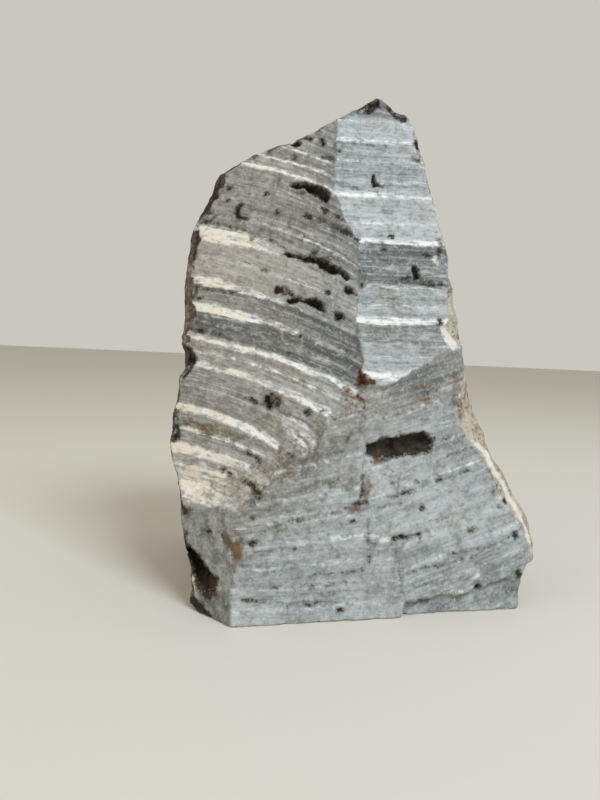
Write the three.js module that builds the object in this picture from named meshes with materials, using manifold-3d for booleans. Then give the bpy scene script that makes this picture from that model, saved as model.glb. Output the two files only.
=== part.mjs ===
// A rough block of soapstone as it leaves the quarry saw, standing on its sawn foot.
// Millimetres, +Z up, +Y away from the sawn front, origin in the middle of the foot.
//
// The block is made as the real one was: a blank from which each chainsaw cut and each break
// takes material away. Every cut is a slab whose near side has the shape of the cut, with the
// ledges that the saw left where its stroke was moved down, and the slab is subtracted.

import * as THREE from "three";
import { mergeVertices } from "three/addons/utils/BufferGeometryUtils.js";
import Module from "manifold-3d";

// ---- Driving dimensions -------------------------------------------------------------------

const HEIGHT = 330; // foot to peak
const FRONT_Y = -88; // nearest corner of the foot
const BACK_Y = 88; // back face at the foot
const BLANK = { width: 280, depth: 240, height: 350 };
const OUTSIDE = 260; // how far the far side of a cutter lies from the middle

// The point of the front where the upper left, upper right and lower cuts meet.
const MEET = { x: 3.5, y: -57.4, z: 141.3 };
const CORNER_X = -71; // front vertical corner at the foot

// Slopes of the cuts: side is dy/dx and lean is dy/dz, so a positive lean falls back as it rises.
const UPPER_LEFT = { side: -0.13, lean: 0.25, bow: 0.0008 };
const UPPER_RIGHT = { side: 0.12, lean: 0.29 };
const LOWER = { side: 0.2113, lean: 0.105 };
const LEFT_CORNER = { side: -0.78, lean: 0.105 };
const BACK = { side: 0.09, lean: -0.14 };

// Ledges of a cut. at is the height of the stroke at its left end; tall is the height of the
// ledge and deep how far it steps back, each at the left end and at the right end.
const UPPER_LEFT_LEDGES = [
  { at: 74, tall: [8, 3], deep: [5, 2] },
  { at: 85, tall: [2, 2], deep: [0.8, 1.2] },
  { at: 95.5, tall: [4.5, 5], deep: [3.4, 4] },
  { at: 108, tall: [2.5, 3], deep: [1.6, 2.4] },
  { at: 120.5, tall: [4, 5.5], deep: [3.4, 5] },
  { at: 135, tall: [2, 2.5], deep: [0.8, 1.6] },
  { at: 149, tall: [3, 5.5], deep: [2, 5.4] },
  { at: 157.5, tall: [1.6, 2], deep: [0.8, 1.4] },
  { at: 166.4, tall: [3, 5], deep: [2.2, 4.6] },
  { at: 176, tall: [1.6, 2], deep: [1, 1.6] },
  { at: 185.5, tall: [6.5, 2.5], deep: [5.4, 2] },
  { at: 195, tall: [1.6, 2], deep: [1, 1.4] },
  { at: 204.5, tall: [5.5, 2], deep: [4.8, 1.2] },
  { at: 219, tall: [1.6, 2], deep: [0.8, 1.4] },
  { at: 236, tall: [13, 2.5], deep: [9.5, 1] },
  { at: 249, tall: [2, 3], deep: [1.2, 2.4] },
  { at: 262, tall: [2, 2.5], deep: [1, 1.6] },
  { at: 274, tall: [2, 2.5], deep: [1, 1.6] },
  { at: 287, tall: [4, 4.5], deep: [4.4, 4.2] },
  { at: 296, tall: [2.5, 3], deep: [1.6, 2.4] },
  { at: 305, tall: [2.5, 2.5], deep: [1.6, 1.6] },
];
const UPPER_RIGHT_LEDGES = [
  { at: 147, tall: [6, 9], deep: [4.6, 4.6] },
  { at: 158, tall: [2, 2], deep: [1, 1] },
  { at: 169, tall: [6, 3], deep: [2.6, 1.6] },
  { at: 180.5, tall: [5, 5], deep: [4.4, 4.4] },
  { at: 190, tall: [2, 2], deep: [1, 1.2] },
  { at: 203, tall: [2, 6], deep: [1.4, 3.4] },
  { at: 216, tall: [2, 2], deep: [0.8, 0.8] },
  { at: 231, tall: [4, 4], deep: [4.4, 4.4] },
  { at: 243, tall: [2, 2], deep: [1, 1] },
  { at: 260, tall: [4.5, 3], deep: [4, 2.6] },
  { at: 271, tall: [2, 2], deep: [1, 1] },
  { at: 284, tall: [2.5, 2], deep: [1.6, 1] },
  { at: 298, tall: [5, 3], deep: [4.6, 3] },
  { at: 311, tall: [2, 2], deep: [1.2, 1.2] },
];
const LOWER_LEFT_LEDGES = [
  { at: 9, tall: [2.5, 2], deep: [1, 0.6] },
  { at: 21, tall: [2, 3], deep: [0.8, 1.4] },
  { at: 33, tall: [2, 2], deep: [0.7, 0.7] },
  { at: 45, tall: [3, 2], deep: [1.4, 0.8] },
  { at: 56, tall: [2, 2], deep: [0.8, 0.8] },
  { at: 68, tall: [2, 3], deep: [0.8, 1.4] },
  { at: 84, tall: [3, 2], deep: [1.2, 0.8] },
  { at: 102, tall: [2, 2], deep: [0.8, 0.8] },
];
const LOWER_RIGHT_LEDGES = [
  { at: -22, tall: [2, 2], deep: [0.8, 0.8] },
  { at: -6, tall: [2, 3], deep: [0.8, 1.6] },
  { at: 10, tall: [3, 2], deep: [1.4, 0.8] },
  { at: 27, tall: [2, 2], deep: [0.7, 0.7] },
  { at: 46, tall: [2, 3], deep: [0.8, 1.8] },
  { at: 66, tall: [2, 2], deep: [0.8, 0.8] },
  { at: 91, tall: [3, 2.5], deep: [1.8, 1.2] },
  { at: 108, tall: [2, 2], deep: [0.8, 0.8] },
];
const BACK_LEDGES = [
  { at: 18, tall: [4, 3], deep: [3, 2] },
  { at: 41, tall: [3, 5], deep: [1.6, 4] },
  { at: 66, tall: [5, 4], deep: [4.2, 2.6] },
  { at: 88, tall: [3, 3], deep: [1.8, 2.4] },
  { at: 117, tall: [5, 4], deep: [4.4, 3] },
  { at: 139, tall: [3, 4], deep: [1.4, 3.4] },
  { at: 165, tall: [4, 3], deep: [3.6, 1.8] },
  { at: 192, tall: [4, 5], deep: [2.4, 4.4] },
  { at: 211, tall: [3, 3], deep: [2, 1.4] },
  { at: 240, tall: [5, 4], deep: [4.2, 3.2] },
  { at: 262, tall: [3, 4], deep: [1.6, 3] },
  { at: 290, tall: [4, 4], deep: [3.4, 3] },
];

// Sag of the strokes of the upper left cut: fall = SAG_START * s + bend * s * s, where s is the
// distance from the left edge and bend depends on the stroke.
const STROKE_LEFT_X = -112;
const STROKE_RIGHT_X = 5;
const SAG_START = 0.08;
const SAG_BEND = [
  [60, 0.0003],
  [76, 0.0005],
  [97, 0.002],
  [121, 0.0036],
  [149, 0.0021],
  [166, 0.0016],
  [236, 0.0022],
  [300, 0.00225],
];
const UPPER_RIGHT_RISE = 0.025;
// Rise of the strokes of the lower cut, which fan out from level at the foot.
const FAN_RISE = [
  [0, 0],
  [30, 0.03],
  [60, 0.13],
  [100, 0.3],
];
const LOWER_RIGHT_RISE = 0.34;
const BACK_RISE = -0.12;

// Left and right edges of the block, as x at each height.
const LEFT_EDGE = [
  [-8, -95],
  [6, -95],
  [13, -94.5],
  [26, -96.5],
  [42, -102],
  [62, -106],
  [77, -111.5],
  [88, -115],
  [99, -117.5],
  [112, -118],
  [125, -115],
  [139, -114.5],
  [160, -115],
  [183, -116],
  [199, -117.7],
  [216, -116.5],
  [234, -115],
  [248, -111.6],
  [257, -106],
  [268, -102.5],
  [279, -97],
  [285, -90],
  [292, -82],
  [348, -40],
];
const RIGHT_EDGE = [
  [-8, 109],
  [8, 109.5],
  [20, 112.5],
  [29, 115.5],
  [33, 120.5],
  [45, 119],
  [57, 117],
  [64, 113.5],
  [72, 108.5],
  [85, 99.5],
  [97, 90],
  [112, 86],
  [119, 83],
  [127, 77.5],
  [134, 72],
  [148, 66.5],
  [162, 64.5],
  [184, 63.7],
  [195, 61.3],
  [213, 57],
  [232, 54],
  [243, 50.7],
  [255, 47.5],
  [281, 41],
  [302, 35.5],
  [314, 31],
  [348, 20],
];
// Inner lines of the breaks that run down both edges of the front, as x at each height.
const RIGHT_BREAK = [
  [-8, 110],
  [20, 114],
  [30, 117],
  [35, 113.5],
  [46, 111],
  [54, 106.5],
  [65, 99],
  [70, 92.5],
  [77, 88.7],
  [88, 85],
  [98, 79],
  [105, 73],
  [113, 65],
  [121, 60],
  [127, 59],
  [140, 63],
  [148, 67],
  [162, 65],
  [172, 54.5],
  [183, 52],
  [212, 52.6],
  [231, 51.6],
  [243, 49.5],
  [348, 20],
];
const LEFT_BREAK = [
  [-8, -105],
  [60, -112],
  [66, -108.5],
  [73, -111.3],
  [84, -114.6],
  [99, -115.6],
  [106, -113.4],
  [125, -114.3],
  [139, -112],
  [173, -112],
  [183, -107.8],
  [199, -108.3],
  [223, -109.4],
  [240, -109.4],
  [247, -106.2],
  [250, -101],
  [260, -98.8],
  [272, -93],
  [281, -87],
  [284, -83],
  [348, -50],
];
const BREAK_SIDE = 1.2; // dy over dx across a break
// The same edges at the back of the block, where the natural skins run straighter.
const LEFT_EDGE_BACK = [
  [-8, -101],
  [50, -111],
  [130, -115],
  [210, -112],
  [265, -99],
  [348, -60],
];
const RIGHT_EDGE_BACK = [
  [-8, 112],
  [40, 114],
  [80, 103],
  [130, 82],
  [200, 63],
  [348, 30],
];
// Line of the top, as height at each x.
const TOP_EDGE = [
  [-135, 262],
  [-96, 279],
  [-84, 285],
  [-74, 289.5],
  [-60, 293.3],
  [-47, 298.2],
  [-35.5, 302.8],
  [-26, 308],
  [-15, 315],
  [-5.5, 322],
  [5, HEIGHT],
  [9.5, 329.2],
  [14, 326.6],
  [20, 321],
  [25, 319.5],
  [28, 316.7],
  [33, 308],
  [60, 290],
  [135, 250],
];
const TOP_EDGE_BACK = [
  [-135, 250],
  [-90, 276],
  [-40, 292],
  [5, 312],
  [30, 306],
  [70, 280],
  [135, 240],
];
const TOP_FALL = -0.16; // dz over dy
const TOP_FRONT_Y = -8;

// Where the upper left cut stops: the height of its lower edge at each x, and how that edge
// climbs as it goes back, which leaves a sloping shelf above the lower cut.
const SHELF_EDGE = [
  [-140, 62],
  [-72, 64.5],
  [-57, 77],
  [-40, 97],
  [-25, 103],
  [-22, 113],
  [-4, 128],
  [2.8, 136],
];
const SHELF_CLIMB = 0.8;
const OVERLAP = 0.4; // of neighbouring cuts
// The fold between the two upper cuts, as x at each height.
const FOLD = [
  [136, 2.8],
  [160, 0],
  [176, -3.5],
  [209, -3],
  [230, -4],
  [243, -13],
  [260, -20.5],
  [311, -20.5],
];
// The lower edge of the upper right cut, as height at each x.
const UPPER_RIGHT_FOOT = [
  [7.3, 140],
  [18, 141],
  [25, 145.5],
  [34, 151],
  [43.5, 156],
  [51.5, 163],
  [66, 165.5],
];
// The step down the lower cut, right of which it was sawn a little deeper, as x at each height.
const STEP_LINE = [
  [-20, 34],
  [4, 33.4],
  [45, 30],
  [50, 16],
  [60, 2.6],
  [136, 2.8],
];
const STEP_DEEPER = 1.3;
// The lower right corner was sawn again below this line, as height at each x.
const TOE_LINE = [
  [30, -6],
  [33.5, 7.5],
  [57, 11.5],
  [68, 10.5],
  [82, 15.5],
  [92, 19.5],
  [99, 21],
  [114, 28],
  [140, 40],
];
const TOE_DEEPER = 4.5;

// Hollows in the front: middle x and z, half length, half height, depth, and tilt in degrees.
const FRONT_HOLLOWS = [
  [-36, 262, 14.5, 4.6, 7, -20],
  [-22, 213.5, 12.5, 3.6, 7, -27],
  [-42, 221, 9, 1.5, 5, -17],
  [-51, 198.5, 6, 2.8, 5, -14],
  [-33.5, 190.5, 13, 2.9, 7, -15],
  [-8.5, 198, 4.2, 2.2, 5, -20],
  [-13.5, 182, 4, 2.5, 5.5, -6],
  [-83.5, 249.5, 1.6, 4.8, 4.5, 4],
  [-79, 245.5, 4.4, 1.4, 4.5, -4],
  [-45, 295.5, 4.6, 3, 4, -10],
  [-29.5, 295, 3, 2.6, 3.5, 0],
  [-0.5, 325.5, 7.5, 4.6, 6, 38],
  [18.5, 323.5, 9, 3.4, 6, -38],
  [4.8, 271.5, 1.6, 3.8, 4, 0],
  [8, 268.8, 4.2, 1.3, 4, 0],
  [32.5, 212.5, 2.6, 4.6, 5.5, 8],
  [-56, 128, 3, 3.8, 3.5, 0],
  [-49, 127, 2.6, 3.4, 3, 0],
  [-27, 110, 2.6, 4.6, 9, 25],
  [26.5, 104, 21, 6.8, 7, 12],
  [26.5, 45.5, 6.6, 1.8, 3.5, 8],
  [77, 15.5, 2.6, 2.4, 3, 0],
  [-91, 26, 18, 5.6, 10, -38],
];
// Hollows in the left side: middle y and z, half length along y, half height, depth.
const LEFT_HOLLOWS = [
  [-26, 150, 9, 11, 6.5],
  [-36, 109, 6, 8, 3],
  [24, 196, 15, 12, 4],
  [5, 66, 20, 11, 4],
  [48, 128, 12, 18, 5],
];
// Chips off the corners: a point that the break passes through and the way it faces.
const CHIPS = [
  { at: [-84, -78, 0], facing: [-0.47, -0.37, -0.8] },
  { at: [-98, 74, 6], facing: [-0.6, 0.62, -0.5] },
  { at: [104, 82, 14], facing: [0.66, 0.62, -0.42] },
  { at: [-91, 44, 258], facing: [-0.7, 0.6, 0.4] },
  { at: [36, 42, 288], facing: [0.66, 0.64, 0.4] },
];
const STONE = { colour: 0x9ba1a1, roughness: 0.82, metalness: 0 };

// ---- Curves -------------------------------------------------------------------------------

// Value at t on a line of straight stretches through [t, value] pairs.
function along(line, t) {
  if (t <= line[0][0]) return line[0][1];
  const next = line.findIndex(([at]) => at > t);
  if (next < 0) return line[line.length - 1][1];
  const [[t0, v0], [t1, v1]] = [line[next - 1], line[next]];
  return v0 + ((v1 - v0) * (t - t0)) / (t1 - t0);
}

function evenly(from, to, pieces) {
  return Array.from({ length: pieces + 1 }, (_, i) => from + ((to - from) * i) / pieces);
}

// Corner points of a line given as x at each height, or as height at each x.
const pointsUp = (line) => line.map(([z, x]) => [x, z]);
const pointsAcross = (line) => line.map(([x, z]) => [x, z]);

// The lips of a stepped cut from the bottom up, where t runs from 0 at the left end of the strokes
// to 1 at the right end. Each ledge steps back, and between ledges the saw came forward again by
// as much in all, so that the offsets from the mean slope start and end at nothing.
function lipsAt(ledges, ends, t) {
  const mix = ([start, finish]) => THREE.MathUtils.lerp(start, finish, t);
  const first = ledges[0].at;
  const last = ledges[ledges.length - 1].at;
  const total = ledges.reduce((sum, { deep }) => sum + mix(deep), 0);
  const forward = (at) => total * THREE.MathUtils.clamp((at - first) / (last - first), 0, 1);
  const found = [{ stroke: ends[0], offset: 0 }];
  let back = 0;
  for (const { at, tall, deep } of ledges) {
    const lower = at - mix(tall) / 2;
    const upper = at + mix(tall) / 2;
    found.push({ stroke: lower, offset: back - forward(lower) });
    back += mix(deep);
    found.push({ stroke: upper, offset: back - forward(upper) });
  }
  found.push({ stroke: ends[1], offset: 0 });
  return found;
}

// Lumps of a natural skin, about 3 mm either way, as a sum of slow waves.
function lumps(u, v) {
  return (
    1.5 * Math.sin(u / 19 + 0.6) * Math.cos(v / 27 + 1.1) +
    1.1 * Math.sin((u + 0.7 * v) / 14 + 2) +
    0.8 * Math.cos((0.8 * u - v) / 9 + 0.4)
  );
}

// How far a skin has turned from its shape at the sawn front to its shape at the back.
const backness = (y, front) => THREE.MathUtils.smoothstep(y - front, 10, 80);

// An edge line that changes from its shape at the front to its shape at the back.
function edgeBetween(front, back, t, amount) {
  return THREE.MathUtils.lerp(along(front, t), along(back, t), amount);
}

// ---- Surfaces of the block ----------------------------------------------------------------

function upperLeftY(x, z) {
  const left = Math.min(x - MEET.x, 0);
  return (
    MEET.y +
    UPPER_LEFT.side * (x - MEET.x) +
    UPPER_LEFT.lean * (z - MEET.z) +
    UPPER_LEFT.bow * left * left
  );
}

function upperRightY(x, z) {
  return MEET.y + UPPER_RIGHT.side * (x - MEET.x) + UPPER_RIGHT.lean * (z - MEET.z);
}

function lowerY(x, z) {
  return FRONT_Y + LOWER.side * (x - CORNER_X) + LOWER.lean * z;
}

function leftCornerY(x, z) {
  return FRONT_Y + LEFT_CORNER.side * (x - CORNER_X) + LEFT_CORNER.lean * z;
}

// Front of the block without its ledges.
function frontY(x, z) {
  const belowShelf = z < along(SHELF_EDGE, x);
  const belowRight = z < along(UPPER_RIGHT_FOOT, x);
  if (x < along(FOLD, z)) {
    return belowShelf ? Math.max(lowerY(x, z), leftCornerY(x, z)) : upperLeftY(x, z);
  }
  return belowRight ? lowerY(x, z) : upperRightY(x, z);
}

function backY(x, z) {
  return BACK_Y + BACK.side * x + BACK.lean * z;
}

function leftX(y, z) {
  const rear = backness(y, frontY(along(LEFT_EDGE, z), z));
  return edgeBetween(LEFT_EDGE, LEFT_EDGE_BACK, z, rear) + 0.06 * (y + 5) + rear * lumps(y, z);
}

function rightX(y, z) {
  const rear = backness(y, frontY(along(RIGHT_EDGE, z), z));
  const edge = edgeBetween(RIGHT_EDGE, RIGHT_EDGE_BACK, z, rear);
  return edge - 0.05 * (y + 30) + 0.9 * rear * lumps(z, y);
}

function topZ(x, y) {
  const rear = backness(y, frontY(x, along(TOP_EDGE, x)));
  const edge = edgeBetween(TOP_EDGE, TOP_EDGE_BACK, x, rear);
  return edge + TOP_FALL * (y - TOP_FRONT_Y) + 0.8 * rear * lumps(x, 1.7 * y);
}

// Height of a stroke of the upper left cut at x.
function saggingZ(x, stroke) {
  const s = Math.max(x - STROKE_LEFT_X, 0);
  return stroke - SAG_START * s - along(SAG_BEND, stroke) * s * s;
}

// ---- Solids -------------------------------------------------------------------------------

const wasm = await Module();
wasm.setup();

function solidOf(geometry) {
  const bare = geometry.clone();
  bare.deleteAttribute("normal");
  bare.deleteAttribute("uv");
  const merged = mergeVertices(bare, 1e-3);
  return new wasm.Manifold(
    new wasm.Mesh({
      numProp: 3,
      vertProperties: new Float32Array(merged.attributes.position.array),
      triVerts: new Uint32Array(merged.index.array),
    }),
  );
}

function geometryOf(solid) {
  const { vertProperties, triVerts } = solid.getMesh();
  const geometry = new THREE.BufferGeometry();
  geometry.setAttribute("position", new THREE.BufferAttribute(vertProperties, 3));
  geometry.setIndex(new THREE.BufferAttribute(triVerts, 1));
  geometry.computeVertexNormals();
  return geometry;
}

// A slab with a near side and a far side, each a function of u and v that gives a corner point.
// The directions u, v and near to far are right-handed, so that the faces point outwards.
function shapedSlab(us, vs, near, far) {
  const columns = us.length - 1;
  const rows = vs.length - 1;
  const box = new THREE.BoxGeometry(1, 1, 1, columns, rows, 1);
  const corners = box.attributes.position;
  for (let i = 0; i < corners.count; i++) {
    const u = us[Math.round((corners.getX(i) + 0.5) * columns)];
    const v = vs[Math.round((corners.getY(i) + 0.5) * rows)];
    const [x, y, z] = corners.getZ(i) < 0 ? near(u, v) : far(u, v);
    corners.setXYZ(i, x, y, z);
  }
  return solidOf(box);
}

// A prism on an outline in x and z that runs through the block from front to back. raise gives
// how far each point of it is lifted.
function throughPrism(points, raise = () => 0) {
  const outline = new THREE.Shape(points.map(([x, z]) => new THREE.Vector2(x, z)));
  const prism = new THREE.ExtrudeGeometry(outline, {
    depth: 2 * OUTSIDE,
    bevelEnabled: false,
  });
  prism.rotateX(Math.PI / 2).translate(0, OUTSIDE, 0);
  const corners = prism.attributes.position;
  for (let i = 0; i < corners.count; i++) {
    const [x, y, z] = [corners.getX(i), corners.getY(i), corners.getZ(i)];
    corners.setZ(i, z + raise(x, y));
  }
  return solidOf(prism);
}

// The near side of a sawn cut as a function of x and of the number of a lip. Strokes run from
// x = left to x = right, zOf gives the height of a stroke at x, and yOf the mean surface.
function sawnSide({ ledges, ends, left, right, zOf, yOf, way = 1 }) {
  return (x, row) => {
    const t = THREE.MathUtils.clamp((x - left) / (right - left), 0, 1);
    const { stroke, offset } = lipsAt(ledges, ends, t)[row];
    const z = zOf(x, stroke);
    return [x, yOf(x, z) + way * offset, z];
  };
}

const lipNumbers = (ledges) => Array.from({ length: 2 * ledges.length + 2 }, (_, i) => i);

function sawCut(cut) {
  const side = sawnSide(cut);
  return shapedSlab(cut.columns, lipNumbers(cut.ledges), side, (x, row) => {
    const [, , z] = side(x, row);
    return [x, -OUTSIDE, z];
  });
}

function upperLeftCut() {
  const cut = sawCut({
    ledges: UPPER_LEFT_LEDGES,
    ends: [40, 420],
    columns: evenly(-140, 25, 12),
    left: STROKE_LEFT_X,
    right: STROKE_RIGHT_X,
    zOf: saggingZ,
    yOf: upperLeftY,
  });
  const stopY = (x) => Math.max(lowerY(x, along(SHELF_EDGE, x)), leftCornerY(x, 62));
  const leftOfFold = throughPrism([[-140, 0], ...pointsUp(FOLD), [-20.5, 500], [-140, 500]]);
  const aboveShelf = throughPrism(
    [...pointsAcross(SHELF_EDGE), [40, 136], [40, 700], [-140, 700]],
    (x, y) => SHELF_CLIMB * (y - stopY(x)),
  );
  return cut.intersect(leftOfFold).intersect(aboveShelf);
}

function upperRightCut() {
  const cut = sawCut({
    ledges: UPPER_RIGHT_LEDGES,
    ends: [100, 420],
    columns: evenly(-40, 140, 4),
    left: -20,
    right: 60,
    zOf: (x, stroke) => stroke + UPPER_RIGHT_RISE * x,
    yOf: upperRightY,
  });
  const region = throughPrism([
    ...pointsAcross(UPPER_RIGHT_FOOT),
    [150, 190],
    [150, 500],
    [-20.5, 500],
    ...pointsUp(FOLD).reverse(),
  ]);
  return cut.intersect(region.translate(-OVERLAP, 0, 0));
}

function lowerCut(ledges, riseOf, deeper) {
  const region = throughPrism([
    [-150, -40],
    [150, -40],
    [150, 190],
    ...pointsAcross(UPPER_RIGHT_FOOT).reverse(),
    [2.8, 136],
    [2.8, 400],
    [-150, 400],
  ]);
  const cut = sawCut({
    ledges,
    ends: [-110, 420],
    columns: evenly(-150, 150, 5),
    left: CORNER_X,
    right: 110,
    zOf: (x, stroke) => stroke + riseOf(stroke) * (x - CORNER_X),
    yOf: (x, z) => lowerY(x, z) + deeper,
  });
  return cut.intersect(region.translate(0, 0, OVERLAP));
}

function lowerLeftCut() {
  return lowerCut(LOWER_LEFT_LEDGES, (stroke) => along(FAN_RISE, stroke), 0);
}

function lowerRightCut() {
  const rightOfStep = throughPrism([
    [160, -20],
    [160, 300],
    [2.8, 300],
    ...pointsUp(STEP_LINE).reverse(),
  ]);
  return lowerCut(LOWER_RIGHT_LEDGES, () => LOWER_RIGHT_RISE, STEP_DEEPER).intersect(
    rightOfStep,
  );
}

// A flat cut from the front that follows yOf.
function flatCut(xs, zs, yOf) {
  return shapedSlab(
    xs,
    zs,
    (x, z) => [x, yOf(x, z), z],
    (x, z) => [x, -OUTSIDE, z],
  );
}

function toeCut() {
  const belowLine = throughPrism([[30, -30], [140, -30], ...pointsAcross(TOE_LINE).reverse()]);
  return flatCut([20, 150], [-40, 60], (x, z) => lowerY(x, z) + TOE_DEEPER).intersect(
    belowLine,
  );
}

// The breaks turn from the front to the sides.
function edgeBreaks() {
  const turning = (line, away) => (x, z) => {
    const start = along(line, z);
    return frontY(start, z) + BREAK_SIDE * away * (x - start);
  };
  const heights = (line) => line.map(([z]) => z);
  return [
    flatCut([-170, 40], heights(LEFT_BREAK), turning(LEFT_BREAK, -1)),
    flatCut([-40, 170], heights(RIGHT_BREAK), turning(RIGHT_BREAK, 1)),
  ];
}

function backCut() {
  const side = sawnSide({
    ledges: BACK_LEDGES,
    ends: [-80, 420],
    left: -110,
    right: 110,
    zOf: (x, stroke) => stroke + BACK_RISE * x,
    yOf: backY,
    way: -1,
  });
  return shapedSlab(
    lipNumbers(BACK_LEDGES),
    evenly(-140, 140, 6),
    (row, x) => side(x, row),
    (row, x) => [x, OUTSIDE, side(x, row)[2]],
  );
}

function sideSkins() {
  const ys = evenly(-120, 125, 14);
  return [
    shapedSlab(
      LEFT_EDGE.map(([z]) => z),
      ys,
      (z, y) => [leftX(y, z), y, z],
      (z, y) => [-OUTSIDE, y, z],
    ),
    shapedSlab(
      ys,
      RIGHT_EDGE.map(([z]) => z),
      (y, z) => [rightX(y, z), y, z],
      (y, z) => [OUTSIDE, y, z],
    ),
  ];
}

function topSkin() {
  return shapedSlab(
    TOP_EDGE.map(([x]) => x),
    evenly(-120, 120, 10),
    (x, y) => [x, y, topZ(x, y)],
    (x, y) => [x, y, HEIGHT + OUTSIDE],
  );
}

// A hollow is a flattened ball with its middle on the surface.
function hollow(position, radii, tilt = 0, turn = 0) {
  const ball = new THREE.SphereGeometry(1, 10, 7);
  ball.applyMatrix4(
    new THREE.Matrix4().compose(
      new THREE.Vector3(...position),
      new THREE.Quaternion().setFromEuler(new THREE.Euler(0, -tilt, turn, "ZYX")),
      new THREE.Vector3(...radii),
    ),
  );
  return solidOf(ball);
}

function hollows() {
  const front = FRONT_HOLLOWS.map(([x, z, long, high, deep, tilt]) => {
    const onCorner = x < CORNER_X && z < along(SHELF_EDGE, x);
    const turn = onCorner ? Math.atan(LEFT_CORNER.side) : 0;
    const middle = [x, frontY(x, z), z];
    return hollow(middle, [long, deep, high], THREE.MathUtils.degToRad(tilt), turn);
  });
  const left = LEFT_HOLLOWS.map(([y, z, long, high, deep]) =>
    hollow([leftX(y, z), y, z], [deep, long, high]),
  );
  return [...front, ...left];
}

// A chip is a wide slab that lies outside a plane.
function chip({ at, facing }) {
  const reach = 60;
  const slab = new THREE.BoxGeometry(2 * reach, 2 * reach, reach).translate(0, 0, reach / 2);
  const turn = new THREE.Quaternion().setFromUnitVectors(
    new THREE.Vector3(0, 0, 1),
    new THREE.Vector3(...facing).normalize(),
  );
  return solidOf(slab.applyQuaternion(turn).translate(...at));
}

function blank() {
  const box = new THREE.BoxGeometry(BLANK.width, BLANK.depth, BLANK.height);
  return solidOf(box.translate(0, 0, BLANK.height / 2));
}

function stone() {
  const cuts = [
    upperLeftCut(),
    upperRightCut(),
    lowerLeftCut(),
    lowerRightCut(),
    flatCut([-150, -40], [-20, 200], leftCornerY),
    toeCut(),
    backCut(),
    ...sideSkins(),
    ...edgeBreaks(),
    topSkin(),
    ...hollows(),
    ...CHIPS.map(chip),
  ];
  const cut = cuts.reduce((body, cutter) => body.subtract(cutter), blank());
  const pieces = cut.decompose();
  return pieces.reduce((most, piece) => (piece.volume() > most.volume() ? piece : most));
}

const mesh = new THREE.Mesh(
  geometryOf(stone()),
  new THREE.MeshStandardMaterial({
    color: STONE.colour,
    roughness: STONE.roughness,
    metalness: STONE.metalness,
    flatShading: true,
  }),
);
mesh.name = "soapstone_block";

const block = new THREE.Group();
block.add(mesh);

export default block;
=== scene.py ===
"""Looks of a rough soapstone block that stands on its sawn foot.

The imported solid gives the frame. The stone is worked out here as height maps of its sawn front,
sawn back, natural sides and roof, which meet in chipped edges, and it stands for the plain solid.
Sizes are in millimetres, +Z up and +Y away from the sawn front, and become metres where a mesh
or a material is made.
"""

import logging
import math
from collections.abc import Callable
from dataclasses import dataclass, field
from enum import Enum

import bpy
import numpy as np
from mathutils import Euler, Matrix, Vector


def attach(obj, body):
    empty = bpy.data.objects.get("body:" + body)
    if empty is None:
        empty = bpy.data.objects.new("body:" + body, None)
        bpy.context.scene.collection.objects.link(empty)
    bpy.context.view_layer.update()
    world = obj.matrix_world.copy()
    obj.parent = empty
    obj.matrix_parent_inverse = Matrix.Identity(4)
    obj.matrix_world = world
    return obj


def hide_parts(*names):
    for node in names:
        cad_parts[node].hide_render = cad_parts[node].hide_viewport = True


Array = np.ndarray
Point = tuple[float, float]
Place = tuple[float, float, float]

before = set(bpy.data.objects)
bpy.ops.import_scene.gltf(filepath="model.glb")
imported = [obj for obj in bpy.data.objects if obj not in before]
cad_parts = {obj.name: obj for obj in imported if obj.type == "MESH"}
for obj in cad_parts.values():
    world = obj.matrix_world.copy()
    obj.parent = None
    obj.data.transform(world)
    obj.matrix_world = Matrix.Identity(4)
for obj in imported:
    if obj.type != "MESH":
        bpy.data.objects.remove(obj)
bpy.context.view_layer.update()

MM = 0.001
log = logging.getLogger("soapstone_block")


# ---- Curves, noise and height maps --------------------------------------------------------


def rise(value: Array, start: float, end: float) -> Array:
    """Rises from 0 at start to 1 at end, as t squared times 3 minus 2t. The end may be lower."""
    t = np.clip((value - start) / (end - start), 0.0, 1.0)
    return t * t * (3.0 - 2.0 * t)


def rounded_max(a: Array, b: Array, width: Array | float) -> Array:
    """Gives the larger of two values, rounded off where they are nearly the same.

    The overlap is width less their difference, and its square over four widths is added.

    Args:
        a: First values.
        b: Second values.
        width: Difference within which the change from one to the other is rounded.

    Returns:
        Rounded larger values.
    """
    overlap = np.maximum(width - np.abs(a - b), 0.0)
    return np.maximum(a, b) + overlap**2 / (4.0 * width)


@dataclass(frozen=True)
class Line:
    """A line of straight stretches through (place, value) points."""

    points: tuple[Point, ...]

    def at(self, place: Array | float) -> Array:
        """Gives the value at each place, and the end values beyond the ends."""
        places, values = zip(*self.points)
        return np.interp(place, places, values)


def through(*points: Point) -> Line:
    """Makes a line through points."""
    return Line(points)


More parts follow.
